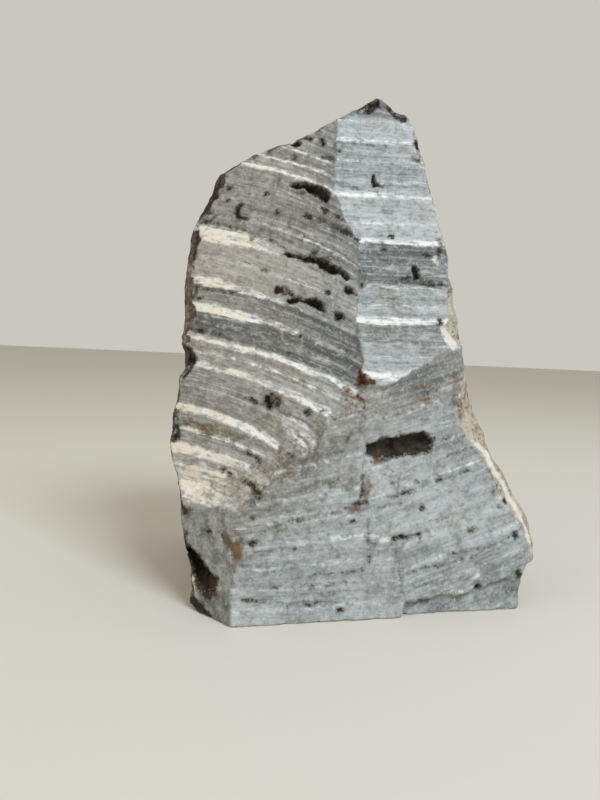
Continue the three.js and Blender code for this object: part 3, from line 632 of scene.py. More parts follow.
# Rust lies where the three cuts meet, tan stains along the joints, and chalk on bruised edges.
STAINS = stains(
    Mark.RUST,
    (3, 143.6, 4.6, 3.6, 1, -5), (2.2, 122.6, 1.3, 1, 0.9), (0.2, 66.4, 2.4, 2, 0.4),
    (-86, 18, 5, 3, 0.55, -40), (-67.4, 44, 2.4, 6.5, 0.5, 10), (-50, 196.6, 2.6, 1.4, 0.55, -20),
    (-45.5, 193.8, 2.6, 1.2, 0.6, -20), (-98, 108.3, 4.5, 1.6, 0.45, -8),
    (47.5, 138.6, 2.2, 1.4, 0.95, 10), (-14, 120.2, 1.9, 1, 0.85), (-25.6, 116.8, 1.9, 1.1, 0.8),
    (14, 98, 5, 2.6, 0.4, 8),
) + trails(
    Mark.RUST,
    (0.9, 0, (-2, 140.6, 1.3), (0.5, 141.5, 1.3)),
    (0.85, 0, (-11, 137.2, 0.6), (-8, 136.3, 1), (-5, 134.8, 0.7)),
    (1, 0.6, (-4, 133.8, 0.9), (-1, 133, 1.3), (1, 132.5, 1), (2.3, 131.6, 1)),
    (0.85, 0.4, (-7, 130.7, 0.9), (-4, 129.9, 0.8)),
    (0.9, 0.6, (-3.5, 128.8, 0.9), (0, 128.2, 1), (2.3, 127.8, 1.2), (0.6, 124.5, 0.9)),
    (0.45, 0, (-64, 79, 1), (-59.5, 77, 1.4)),
) + stains(
    Mark.OCHRE,
    (-4, 134.5, 8, 3.6, 0.7, -25), (0, 66.4, 4.4, 3.4), (-68.4, 44, 3.8, 7.5, 1.2, 12),
    (-105, 58.5, 4, 3, 1, -30), (-75.5, 49, 4.4, 3, 1.1, -30), (14, 95.5, 6.4, 2.6, 1, 8),
    (2, 147, 3.4, 1.6, 0.9), (-61, 77, 5.5, 4, 0.75, -30), (-90, 107.5, 20, 4.5, 0.65, -10),
    (-58, 118.5, 2, 1.6, 0.7), (-53, 128, 6.5, 6.5, 0.75), (32, 44.5, 5, 1.8, 0.6),
    (39, 133.5, 6.5, 3.6, 0.7, 10), (76, 53, 6, 3, 0.55), (-16, 313, 6, 1.8, 0.6, 15),
    (32.5, 288, 3.4, 3.4, 0.75), (-105, 233, 1.8, 2, 0.7), (-103.5, 238, 1.8, 1.5, 0.7),
    (-108, 196, 2.4, 5, 0.8), (-8, 86, 14, 10, 0.42), (-46, 88, 12, 7, 0.42, -30),
    (-34, 62, 18, 7, 0.36, 4), (20, 86, 12, 7, 0.4, 10), (60, 60, 14, 8, 0.32, 18),
    (-20, 20, 18, 6, 0.3),
) + trails(
    Mark.OCHRE,
    (0.75, 0, (-70, 38, 2.4), (-70.5, 30, 2.2), (-71, 21, 1.8)),
    (0.75, 0, (33, 141.5, 1.2), (47, 141.3, 1.3), (58, 143.4, 1.6)),
    (0.6, 0, (10, 139.6, 1.6), (16, 136.5, 2.6), (12, 134, 2)),
    (0.75, 0, (3.5, 92, 1.6), (6.5, 84, 2.2), (7, 77, 2.4), (6, 70, 2.2)),
    (0.65, 0, (2, 126, 1.4), (0, 119, 1.6), (-1, 112, 1.2)),
    (0.62, 0, (-31, 118.5, 1.6), (-25, 117, 2.2), (-21.5, 113.5, 1.6), (-24.5, 107, 1.8),
     (-26, 99, 2.2)),
    (0.6, 0, (-26, 99, 2.2), (-37, 94, 2.4), (-48, 91, 2), (-55, 82, 2), (-60, 75, 2)),
    (0.5, 0, (-30, 80, 3), (-20, 74, 3)), (0.5, 0, (-46, 54, 2.4), (-25, 56, 3)),
    (0.5, 0, (-16, 46, 2.6), (-10, 39, 3)),
    (0.6, 0, (84, 18, 1.6), (92, 19.3, 1.8), (100, 20.5, 1.4)),
    (0.55, 0, (60, 146, 3), (62, 134, 4), (66, 124, 4)),
) + stains(
    Mark.CHALK,
    (93.3, 72, 3, 1.7, 0.9), (93.5, 77.5, 2, 1.2, 0.75), (112.8, 35, 2.4, 1.8, 0.8),
    (112.5, 27, 2, 1.5, 0.8), (80.3, 23.6, 2, 1.1, 1, 25), (77.6, 21.8, 1.4, 0.9),
    (75.5, 16.6, 2.4, 1, 0.85), (69.6, 14, 2, 1.5), (61, 14, 1.6, 0.8, 0.85), (92.8, 20, 1.4, 0.9),
    (65, 7.5, 2.6, 1.3, 0.7), (12, 91.5, 5, 1.8, 0.65, 12), (44.5, 135.2, 1.6, 0.9, 0.85),
    (-15, 115.6, 2.4, 1.6, 0.75), (-12.5, 112.5, 2.4, 1.6, 0.6), (-48, 88.5, 2.2, 1.3, 0.75, 20),
    (45.5, 222, 1.7, 1.8, 0.9), (48, 219.8, 1, 1.1), (-99.5, 149.4, 4, 1.3, 0.75),
    (-107.5, 107.3, 2, 1, 0.8),
) + trails(
    Mark.CHALK,
    (0.95, 0.3, (74, 108, 1), (79.5, 103, 1.4), (85.5, 97.5, 1.8), (89, 90.5, 2), (94, 84.5, 2),
     (99.5, 76, 2), (105, 67, 1.9), (109.5, 59.5, 1.9), (113, 51.5, 1.7), (116.5, 42, 1.4),
     (117.5, 35, 1.2)),
    (0.7, 0, (52, 12.5, 0.7), (60, 14, 0.8), (70, 15, 0.9), (80.5, 23.5, 0.8), (86, 28.5, 0.6)),
    (0.95, 0, (17, 47.6, 1.3), (22.2, 48.2, 1)),
    (0.95, 0.5, (51.5, 177.5, 1), (54.5, 172, 2.6), (57.5, 167, 2.6)),
    (0.8, 0, (-99, 21.5, 0.6), (-95.8, 15, 0.9), (-93.6, 9.5, 1.1)),
) + stains(
    Mark.SHADE,
    (-84, 103, 14, 2.4, 0.9, -14), (58, 152.5, 9, 4.5, 1, -10), (63, 3, 6, 3, 1.6),
    (43, 8.5, 9.5, 3.6, 2, 5),
) + stains(
    Mark.PIT,
    (-76.5, 49.5, 3.4, 2, 0.5, -30),
) + stains(
    Mark.LEDGE,
    (-36, 109, 13, 7, 0.5, -40),
) + (Patch(Mark.OCHRE, -37, 260.3, 7.5, 3.2, 2.5, 0.8, -8),)


# ---- The sawn front -----------------------------------------------------------------------


@dataclass
class Ground:
    """The front without its hollows at many points, and which cut each point belongs to.

    The last seven are shares from 0 to 1.
    """

    y: Array
    waver: Array  # slow noise
    ragged: Array  # noise of borders
    crumb: Array  # finest noise
    sag: Array  # stroke of the upper left cut
    flat: Array  # and of the upper right cut
    low: Array  # and of the lower cut, with that of its right field apart
    dust_and_highlight: tuple[Array, Array, Array]  # coat of dust and painted highlight of the same three
    upper_left: Array
    upper_right: Array
    lower: Array
    corner: Array
    toe: Array
    shelf: Array
    skin: Array


@dataclass(frozen=True)
class Plane:
    """The mean surface of a cut, which gives y at each x and z."""

    at: Place
    across: float  # change of y with x
    up: float  # and with z

    def y(self, x: Array | float, z: Array | float) -> Array:
        """Gives y at each point."""
        x0, y0, z0 = self.at
        return y0 + self.across * (x - x0) + self.up * (z - z0)


@dataclass(frozen=True)
class SawnFront:
    """The front: two upper cuts that meet in a fold, a lower cut and a left corner cut."""

    seed: int = 3
    corner_x: float = -71.0
    low_plane: Plane = Plane((-71.0, -88.0, 0.0), 0.2113, 0.105)
    corner_plane: Plane = Plane((-71.0, -88.0, 0.0), -0.78, 0.105)
    right_plane: Plane = Plane((3.5, -57.4, 141.3), 0.12, 0.29)
    left_plane: Plane = Plane((3.5, -57.4, 141.3), -0.13, 0.25)
    left_bow: float = 0.0008  # by which the upper left cut bows back to the left
    fold: Line = through(
        (136, 2.8), (160, 0), (176, -3.5), (209, -3), (230, -4), (243, -13), (260, -20.5),
        (311, -20.5),
    )
    shelf: Line = through(
        (-140, 62), (-72, 64.5), (-57, 77), (-40, 97), (-25, 103), (-22, 113), (-4, 128),
        (2.8, 136),
    )
    shelf_left_z: float = 62.0
    shelf_climb: float = 0.8
    feet_meet_x: float = 3.0  # where the foot of the left upper cut gives way to the right one's
    upper_right_foot: Line = through(
        (7.3, 140), (18, 141), (25, 145.5), (34, 151), (43.5, 156), (51.5, 163), (66, 165.5),
    )
    step: Line = through((-20, 34), (4, 33.4), (45, 30), (50, 16), (60, 2.6), (136, 2.8))
    step_deeper: float = 1.3
    toe: Line = through(
        (30, -6), (33.5, 7.5), (57, 11.5), (68, 10.5), (82, 15.5), (92, 19.5), (99, 21), (114, 28),
        (140, 40),
    )
    toe_deeper: float = 4.5
    toe_left: float = 28.0
    stroke_left: float = -112.0
    sag_start: float = 0.08
    sag_bend: Line = through(
        (60, 0.0003), (76, 0.0005), (97, 0.002), (121, 0.0036), (149, 0.0021), (166, 0.0016),
        (236, 0.0022), (300, 0.00225),
    )
    fan: Line = through((0, 0), (30, 0.03), (60, 0.13), (100, 0.3))
    lower_right_rise: float = 0.34
    upper_right_rise: float = 0.025
    left_break: Line = through(
        (-8, -105), (60, -112), (66, -108.5), (73, -111.3), (84, -114.6), (99, -115.6),
        (106, -113.4), (125, -114.3), (139, -113), (173, -112.6), (183, -110.6), (194, -110),
        (207, -111.6), (223, -111), (229, -109.6), (240, -109.4), (244, -106), (249, -101.5),
        (256, -99.8), (262, -97), (270, -95), (276, -92.5), (281, -86), (284, -83), (348, -50),
    )
    right_break: Line = through(
        (-8, 110), (20, 114), (30, 117), (35, 113.5), (46, 111), (54, 106.5), (65, 99), (70, 92.5),
        (77, 88.7), (88, 85), (98, 79), (105, 73), (113, 65), (121, 60), (127, 59), (140, 63),
        (148, 67), (162, 65), (172, 54.5), (183, 52), (212, 52.6), (231, 51.6), (243, 49.5),
        (348, 20),
    )
    break_side: float = 1.2
    break_round: float = 1.5
    rounds: int = 24  # in which a stroke is found by repeating
    upper_left_strokes: Strokes = Strokes(
        ledges(
            (74, 8, 3, 5, 2, 1.1, 0.5), (85, 4, 3, 0.8, 1.2, 0.9, 0.4),
            (95.5, 5.5, 7, 3.6, 4.4, 1, 0.1), (108, 3, 4.5, 1.8, 2.8, 0.5, 0.4),
            (120.5, 4.5, 7, 3.6, 5.4, 0.8, 1), (135, 2, 2.5, 0.8, 1.6, 0.15, 0.5),
            (149, 3, 5.5, 2, 5.4, 0.5, 1), (157.5, 1.6, 2, 0.8, 1.4, 0.5, 0.6),
            (165.4, 3.4, 5, 2.4, 4.6, 0.7, 1), (176, 1.6, 2, 1, 1.6, 0.15, 0.3),
            (185.5, 6.5, 2.5, 5.4, 2, 1.25, -0.2), (195, 1.6, 2, 1, 1.4, 0.2, 0.2),
            (202.8, 6, 2, 4.8, 1.2, 1.3, -0.35), (219, 1.6, 2, 0.8, 1.4, 0.3, 0.25),
            (235.5, 13, 2.5, 9.5, 1, 1.3, -0.8), (249, 2, 3, 1.2, 2.4, 0.2, 0.3),
            (262, 2, 2.5, 1, 1.6, 0.1, 0.15), (274, 2, 2.5, 1, 1.6, 0.1, 0.2),
            (287, 4, 4.5, 4.4, 4.2, 1, 0.9), (296, 2.5, 3, 1.6, 2.4, 0.4, 0.7),
            (305, 2.5, 2.5, 1.6, 1.6, 0.3, 0.5),
        ),
        left=-112.0,
        right=5.0,
        seed=11,
    )
    upper_right_strokes: Strokes = Strokes(
        ledges(
            (147, 6, 9, 4.6, 4.6, 1, 1.1), (158, 2, 2, 1, 1, 0.3, 0.3),
            (169, 6, 3, 2.6, 1.6, 0.15, 0.1), (180.5, 5, 5, 4.4, 4.4, 1, 1),
            (190, 2, 2, 1, 1.2, 0.4, 0.4), (203, 2, 6, 1.4, 3.4, 0.6, 0.3),
            (216, 2, 2, 0.8, 0.8, 0.15, 0.15), (231, 4, 4, 4.4, 4.4, 1, 1),
            (243, 2, 2, 1, 1, 0.3, 0.3), (261.6, 5.5, 3.4, 4, 2.6, 1.2, 0.5),
            (271, 2, 2, 1, 1, 0.3, 0.3), (284, 2.5, 2, 1.6, 1, 0.35, 0.3),
            (298, 5, 3, 4.6, 3, 1.1, 0.5), (311, 2, 2, 1.2, 1.2, 0.4, 0.4),
        ),
        left=-20.0,
        right=60.0,
        seed=12,
        wander=0.35,
    )
    lower_left_strokes: Strokes = Strokes(
        ledges(
            (9, 2.5, 2, 1, 0.6, 0.5, 0.3), (21, 2, 3, 0.8, 1.4, 0.4, 0.4),
            (33, 2, 2, 0.7, 0.7, 0.4, 0.3), (45, 3, 2, 1.4, 0.8, 0.55, 0.3),
            (56, 2, 2, 0.8, 0.8, 0.35, 0.3), (68, 2, 3, 0.8, 1.4, 0.3, 0.4),
            (84, 3, 2, 1.2, 0.8, 0.4, 0.3), (102, 2, 2, 0.8, 0.8, 0.3, 0.3),
        ),
        left=-71.0,
        right=110.0,
        seed=13,
    )
    lower_right_strokes: Strokes = Strokes(
        ledges(
            (-22, 2, 2, 0.8, 0.8, 0.3, 0.3), (-6, 2, 3, 0.8, 1.6, 0.3, 0.4),
            (10, 3, 2, 1.4, 0.8, 0.3, 0.3), (27, 2, 2, 0.7, 0.7, 0.3, 0.3),
            (46, 2, 3, 0.8, 1.8, 0.3, 0.4), (66, 2, 2, 0.8, 0.8, 0.3, 0.3),
            (91, 3, 2.5, 1.8, 1.2, 0.3, 0.3), (108, 2, 2, 0.8, 0.8, 0.3, 0.3),
        ),
        left=-71.0,
        right=110.0,
        seed=14,
    )
    # Dark bands, as how dark the stone is at the height of each stroke.
    upper_left_shade: Line = through(
        (60, 0.0), (92, 0.05), (100, 0.35), (112, 0.4), (128, 0.45), (140, 0.5), (150, 0.2),
        (163, 0.3), (168, 0.8), (172, 1.4), (181, 1.3), (187, 0.25), (193, 0.8), (198, 1.1),
        (202, 0.5), (208, 0.0), (231, 0.0), (243, 0.5), (262, 0.5), (284, 0.45), (290, 0.4),
        (303, 0.4),
    )
    upper_right_shade: Line = through(
        (146, 0.2), (152, 0.35), (163, 0.4), (167, 0.9), (176, 0.9), (182, 0.3), (190, 0.4),
        (196, 0.75), (200, 0.35), (204, 1.2), (222, 1.3), (229, 1.0), (232, 0.1), (245, 0.05),
        (262, 0.2), (272, 0.5), (284, 0.5), (296, 0.5), (300, 0.05), (312, 0.2), (318, 1.5),
    )
    # Where a mark grows from nothing to full, in the direction that the name ends in.
    pale_x: Point = (-20.0, 60.0)
    pale_z: Point = (250.0, 236.0)
    haze_stroke: Point = (96.0, 84.0)
    haze_x: Point = (-52.0, -80.0)
    settled_x: Point = (-68.0, -88.0)
    settled_z: Point = (82.0, 73.0)
    cream_left_x: Point = (-35.0, -95.0)
    cream_right_x: Point = (20.0, 60.0)
    grey_x: Point = (-60.0, 0.0)
    dull_below: Point = (42.0, 8.0)  # under the upper cuts
    painted_shade_by_fold_x: Point = (-55.0, -15.0)
    painted_shade_by_fold_z: Point = (140.0, 165.0)
    painted_shade_corner_foot_z: Point = (30.0, 12.0)
    right_field_x: Point = (10.0, 50.0)
    light_band_low_z: Point = (35.0, 60.0)
    light_band_high_z: Point = (105.0, 85.0)
    wear: Wear = PITS + GOUGES + TORN_LINES + SOFT_LINES + STAINS
    wear_shift: float = 1.5  # the most that an outline moves, and its share of half the width
    wear_share: float = 0.7

    def upper_left(self, x: Array, z: Array) -> Array:
        """Gives the mean surface of the upper left cut."""
        bow = self.left_bow * np.minimum(x - self.left_plane.at[0], 0.0) ** 2
        return self.left_plane.y(x, z) + bow

    def mean(self, x: Array, z: Array) -> Array:
        """Gives the front without ledges: each cut's mean surface inside its own outline.

        Args:
            x: Points across the face.
            z: Points up the face.

        Returns:
            y at each point.
        """
        low = self.low_plane.y(x, z)
        left = np.where(
            z < self.shelf.at(x),
            np.maximum(low, self.corner_plane.y(x, z)),
            self.upper_left(x, z),
        )
        right = np.where(z < self.upper_right_foot.at(x), low, self.right_plane.y(x, z))
        return np.where(x < self.fold.at(z), left, right)

    def sagging_stroke(self, x: Array, z: Array) -> Array:
        """Finds which stroke of the upper left cut passes each point.

        A stroke falls by sag_start times s plus its bend times s squared, s being the
        distance from the left edge. The bend depends on the stroke, so it is found by
        repeating.

        Args:
            x: Points across the face.
            z: Points up the face.

        Returns:
            Height of the stroke at its left end.
        """
        s = np.maximum(x - self.stroke_left, 0.0)
        stroke = z + self.sag_start * s
        for _ in range(self.rounds):
            found = z + self.sag_start * s + self.sag_bend.at(stroke) * s * s
            stroke = 0.5 * (stroke + found)
        return stroke

    def fanning_stroke(self, x: Array, z: Array) -> Array:
        """Finds which stroke of the lower left cut passes each point, by repeating.

        Args:
            x: Points across the face.
            z: Points up the face.

        Returns:
            Height of the stroke at its left end.
        """
        stroke = z
        for _ in range(self.rounds):
            found = z - self.fan.at(stroke) * (x - self.corner_x)
            stroke = 0.5 * (stroke + found)
        return stroke

    def _ground(self, x: Array, z: Array, noise: Noise) -> Ground:
        """Works out the front without its hollows.

        Left of the fold the stone is what the lower cuts and the upper left cut leave, and
        the upper left cut ends on a shelf that climbs as it goes back. Right of the fold it
        is the upper right cut above its foot and the lower cut below. Then the breaks along
        both edges take their part. A number before a noise is how many millimetres it moves
        a surface or a border.

        Args:
            x: Points across the face.
            z: Points up the face.
            noise: Noise of the face.

        Returns:
            The ground.
        """
        waver = noise.layered(*WAVER, x, z)
        ragged = noise.layered(*RAGGED, x, z, 40.0)
        crumb = noise.layered(*CRUMB, x, z, 70.0)

        sag = self.sagging_stroke(x, z) + 0.5 * waver
        flat = z - self.upper_right_rise * x + 0.2 * waver
        fanned = self.fanning_stroke(x, z) + 0.8 * waver
        steep = z - self.lower_right_rise * (x - self.corner_x) + 0.8 * waver
        left_back, left_dust_and_highlight = self.upper_left_strokes.cut(x, sag)
        right_back, right_dust_and_highlight = self.upper_right_strokes.cut(x, flat)
        fanned_back, fanned_dust_and_highlight = self.lower_left_strokes.cut(x, fanned)
        steep_back, steep_dust_and_highlight = self.lower_right_strokes.cut(x, steep)

        low_plane = self.low_plane.y(x, z)
        past_step = rise(x - self.step.at(z) + 1.2 * ragged, -0.8, 0.8)
        lower = low_plane + fanned_back
        lower = lower + past_step * (steep_back + self.step_deeper - fanned_back)
        toe = rise(self.toe.at(x) - z + 1.5 * ragged, -1.0, 1.0) * (x > self.toe_left)
        toe_plane = low_plane + self.toe_deeper + 0.5 * crumb
        lower = np.maximum(lower, toe_plane * toe + lower * (1.0 - toe))
        corner_cut = self.corner_plane.y(x, z) + 0.5 * waver + 0.35 * crumb
        bottom = np.maximum(lower, corner_cut)

        edge = self.shelf.at(x)
        stop = np.maximum(self.low_plane.y(x, edge), self.corner_plane.y(x, self.shelf_left_z))
        shelf_plane = stop + (z - edge - 1.6 * ragged) / self.shelf_climb
        left_cut = self.upper_left(x, z) + left_back
        right_cut = self.right_plane.y(x, z) + right_back

        beyond_fold = rise(x - self.fold.at(z) + 0.9 * ragged, -0.7, 0.7)
        over_foot = rise(z - self.upper_right_foot.at(x) + ragged, -0.7, 0.7)
        upper = np.minimum(left_cut, shelf_plane)
        y = rounded_max(bottom, upper, 0.8)
        y = y + beyond_fold * (lower + over_foot * (right_cut - lower) - y)

        upper_left = rise(upper - bottom, -0.4, 0.6) * (1.0 - beyond_fold)
        upper_right = beyond_fold * over_foot
        in_lower = np.clip(1.0 - upper_left - upper_right, 0.0, 1.0)
        corner = in_lower * rise(corner_cut - lower, -0.5, 0.5) * (x < 0.0)
        shelf = upper_left * rise(left_cut - shelf_plane, 0.0, 1.5)

        skin = np.zeros(x.shape)
        for line, away in ((self.left_break, -1.0), (self.right_break, 1.0)):
            start = line.at(z)
            plane = self.mean(start, z) + self.break_side * away * (x - start)
            plane = plane + 1.6 * ragged + 0.8 * crumb
            skin = np.maximum(skin, rise(plane - y, -0.6, 1.0))
            y = rounded_max(y, plane, self.break_round)
        low_dust_and_highlight = fanned_dust_and_highlight + past_step * (steep_dust_and_highlight - fanned_dust_and_highlight)
        low = np.where(past_step > 0.5, steep + 2.0 * APART, fanned + 3.0 * APART)
        dust_and_highlight = (left_dust_and_highlight, right_dust_and_highlight, low_dust_and_highlight)
        return Ground(
            y, waver, ragged, crumb, sag, flat, low, dust_and_highlight,
            upper_left, upper_right, in_lower, corner, toe, shelf, skin,
        )

    def _marks(self, x: Array, z: Array, at: Ground) -> Marks:
        """Works out the marks of the front without its stains and hollows.

        Each is a weighted sum over the cuts, the weights being how strong it is on each. The
        lower cut is duller and warmer close under the upper cuts, and its right field is
        darker but for a light band across it. Painted shade darkens the corner cut, most at
        its foot, and the upper left cut beside the fold.

        Args:
            x: Points across the face.
            z: Points up the face.
            at: The ground at the same points.

        Returns:
            The marks.
        """
        left_dust_and_highlight, right_dust_and_highlight, low_dust_and_highlight = at.dust_and_highlight
        plain_lower = at.lower * (1.0 - at.corner)
        haze = 0.5 * rise(at.sag, *self.haze_stroke) * rise(x, *self.haze_x)
        settled = 0.46 * rise(x, *self.settled_x) * rise(z, *self.settled_z)
        top = np.where(x < self.feet_meet_x, self.shelf.at(x), self.upper_right_foot.at(x))
        dull = rise(top - z, *self.dull_below)
        # Painted shade on the upper left cut beside the fold.
        painted_shade_by_fold = rise(x, *self.painted_shade_by_fold_x) * rise(z, *self.painted_shade_by_fold_z)
        light_band = rise(z, *self.light_band_low_z) * rise(z, *self.light_band_high_z)
        dark_field = rise(x, *self.right_field_x) * (1.0 - light_band)
        shade = 0.25 + 0.4 * rise(at.waver + 0.2, 0.0, 0.9) + 0.7 * dull
        shade = shade + 0.3 * dark_field + 0.9 * at.toe
        marks = no_marks(x)
        marks[Mark.SAWN] = (
            (1.0 - 0.45 * at.lower) * (1.0 - 0.7 * at.corner) * (1.0 - 0.6 * at.toe)
        )
        # Dust on the ledges, low on the upper left cut and on the shelf, which also paints the
        # highlight of their upward faces.
        marks[Mark.LEDGE] = (
            at.upper_left * (np.maximum(left_dust_and_highlight, haze) * (1.0 - at.shelf) + at.shelf * settled)
            + at.upper_right * right_dust_and_highlight
            + 0.75 * plain_lower * low_dust_and_highlight
        )
        # Cream to the left of the upper left cut and the right of the upper right: partly painted
        # warm light.
        marks[Mark.CREAM] = at.upper_left * rise(x, *self.cream_left_x)
        marks[Mark.CREAM] += 0.25 * at.upper_right * rise(x, *self.cream_right_x)
        marks[Mark.WARM] = (
            at.upper_left * (1.0 - 0.5 * rise(x, *self.grey_x))
            + 0.5 * at.corner
            + plain_lower * (0.1 + 0.7 * dull)
        )
        marks[Mark.SHADE] = (
            at.upper_left * (self.upper_left_shade.at(at.sag) + 0.5 * painted_shade_by_fold)
            + at.upper_right * self.upper_right_shade.at(at.flat)
            # Painted shade: the corner cut faces away from the light, and is darkest at its
            # undercut foot.
            + at.corner * (1.5 + 0.6 * rise(z, *self.painted_shade_corner_foot_z))
            + plain_lower * shade
        )
        marks[Mark.SKIN] = at.skin
        # Left of x = -20 the break's skin stays mostly brown: brown rind, kept dark as painted
        # shade on the strip that faces away from the light.
        marks[Mark.PALE] = np.maximum(rise(x, *self.pale_x), 0.3 * rise(z, *self.pale_z))
        marks[Mark.OCHRE] = 0.35 * at.shelf * (1.0 - settled)
        return marks

    def survey(self, x: Array, z: Array) -> Survey:
        """Works out the front at many points, with its hollows and stains.

        Args:
            x: Points across the face.
            z: Points up the face.

        Returns:
            The survey, with y as its height.
        """
        noise = Noise(self.seed)
        at = self._ground(x, z, noise)
        marks = self._marks(x, z, at)
        depth = add_wear(
            self.wear,
            x,
            z,
            lambda half: min(self.wear_shift, self.wear_share * half) * at.ragged,
            marks,
        )
        y = at.y + depth * (1.0 + 0.27 * at.corner) * (1.0 + 0.3 * at.crumb)
        y = y + 0.25 * noise.layered(*SWELL, x, z, 9.0) + 0.1 * at.crumb
        upper = np.where(at.upper_right > 0.5, at.flat + APART, 0.0)
        upper = np.where(at.upper_left > 0.5, at.sag, upper)
        return Survey(y, x, np.where(at.lower > 0.5, at.low, upper), marks)


# ---- The other faces ----------------------------------------------------------------------

BACK_WEAR = gouges(
    (5, (-61, 209, 1), (-55, 211, 2.4), (-48, 213.5, 4.2), (-41, 215.6, 3.4), (-35, 216.5, 1.2)),
    (4, (12, 150.8, 1), (18, 150.6, 2.2), (24, 149, 2.8), (31, 147.6, 1)),
    (4.5, (49, 72.5, 0.9), (55, 72.2, 2.6), (62, 70.4, 3.8), (69, 69.6, 2.4), (74, 69, 1)),
    (3, (-77, 97, 1.2), (-72, 96, 2.8), (-68, 94, 1.8)),
    (3, (-12, 269.4, 0.9), (-7, 268.6, 1.9), (-1, 267, 1.8)),
    (2, (34, 262, 0.8), (40, 259.5, 1.8), (43, 256, 1.2)),
    (2, (-26, 116, 0.8), (-20, 114.8, 1.6), (-14, 115.2, 0.9)),
) + soft_lines(
    0.56,
    ((-104, 226), (-80, 223.1), (-50, 219.5), (-20, 216)),
    ((-20, 140), (10, 136.6), (40, 133), (66, 130)),
    ((-96, 73.5), (-60, 69), (-20, 64), (10, 60.4)), ((10, 33), (40, 29.6), (80, 25)),
    ((-60, 262), (-30, 258.6), (10, 253.8)), ((-100, 160), (-70, 156.4), (-40, 152.8)),
) + soft_lines(
    0.46,
    ((-90, 122), (-50, 117.4), (-10, 112.4)), ((0, 186), (30, 182.4), (56, 179)),
    ((-80, 18), (-40, 13.4), (0, 8.6)), ((20, 96), (50, 92.2), (84, 88)),
    ((-40, 284), (-10, 280.4), (20, 276.6)), ((16, 148), (18, 138), (15, 126)),
) + trails(
    Mark.SKIN,
    (1, 1.5, (107, -4, 3), (109, 30, 4.5), (103, 62, 2.5), (96, 84, 4), (86, 108, 5.5),
     (77, 130, 2.5), (70, 156, 4.5), (64, 180, 2.5), (58, 204, 3), (52, 230, 5), (46, 256, 2.5),
     (39, 284, 3.5), (30, 306, 3)),
    (1, 1.5, (-97, 4, 3), (-104, 36, 2.5), (-108, 62, 4.5), (-110, 96, 2.5), (-111, 124, 5),
     (-110, 152, 2.5), (-110, 180, 4), (-108, 208, 2.5), (-104, 232, 5), (-97, 262, 3)),
) + stains(
    Mark.RUST,
    (36, 203, 4.5, 2.4, 0.6, -10), (-46, 209, 6, 2, 0.5, 14), (60, 66.5, 7, 1.8, 0.5, -10),
) + stains(
    Mark.OCHRE,
    (-30, 60, 24, 7, 0.6, -8), (15, 240, 20, 6, 0.5, -8), (70, 120, 14, 9, 0.55, -8),
    (-84, 178, 18, 9, 0.5, -8), (44, 36, 24, 8, 0.45, -8), (-48, 205, 12, 5, 0.6),
) + stains(
    Mark.LEDGE,
    (-72, 242, 26, 5, 0.5, -7), (56, 104, 24, 5, 0.5, -7), (-60, 78, 34, 4, 0.5, -7),
) + pits(
    # Flecks, each wider than it is high, from rows of x, z and long.
    *(
        (x, z, long, 0.65 * long, 0.5 * long, 0.88, -8)
        for x, z, long in (
            (-20, 226, 2.2), (-14, 222, 1.7), (-66, 183, 2.6), (-58, 181, 1.6), (38, 232, 2),
            (-85, 133, 2.2), (-30, 128, 1.8), (47, 112, 2.6), (53, 109, 1.6), (0, 96, 1.8),
            (84, 46, 2.2), (-40, 40, 2.4), (-34, 37, 1.5), (20, 22, 2), (-88, 30, 1.8),
            (12, 292, 1.8), (-48, 250, 2), (72, 86, 1.6), (-4, 190, 1.9), (-100, 196, 2.2),
            (8, 60, 1.6), (-62, 66, 1.5), (60, 178, 1.5), (-92, 64, 1.6), (32, 126, 1.5),
        )
    )
)


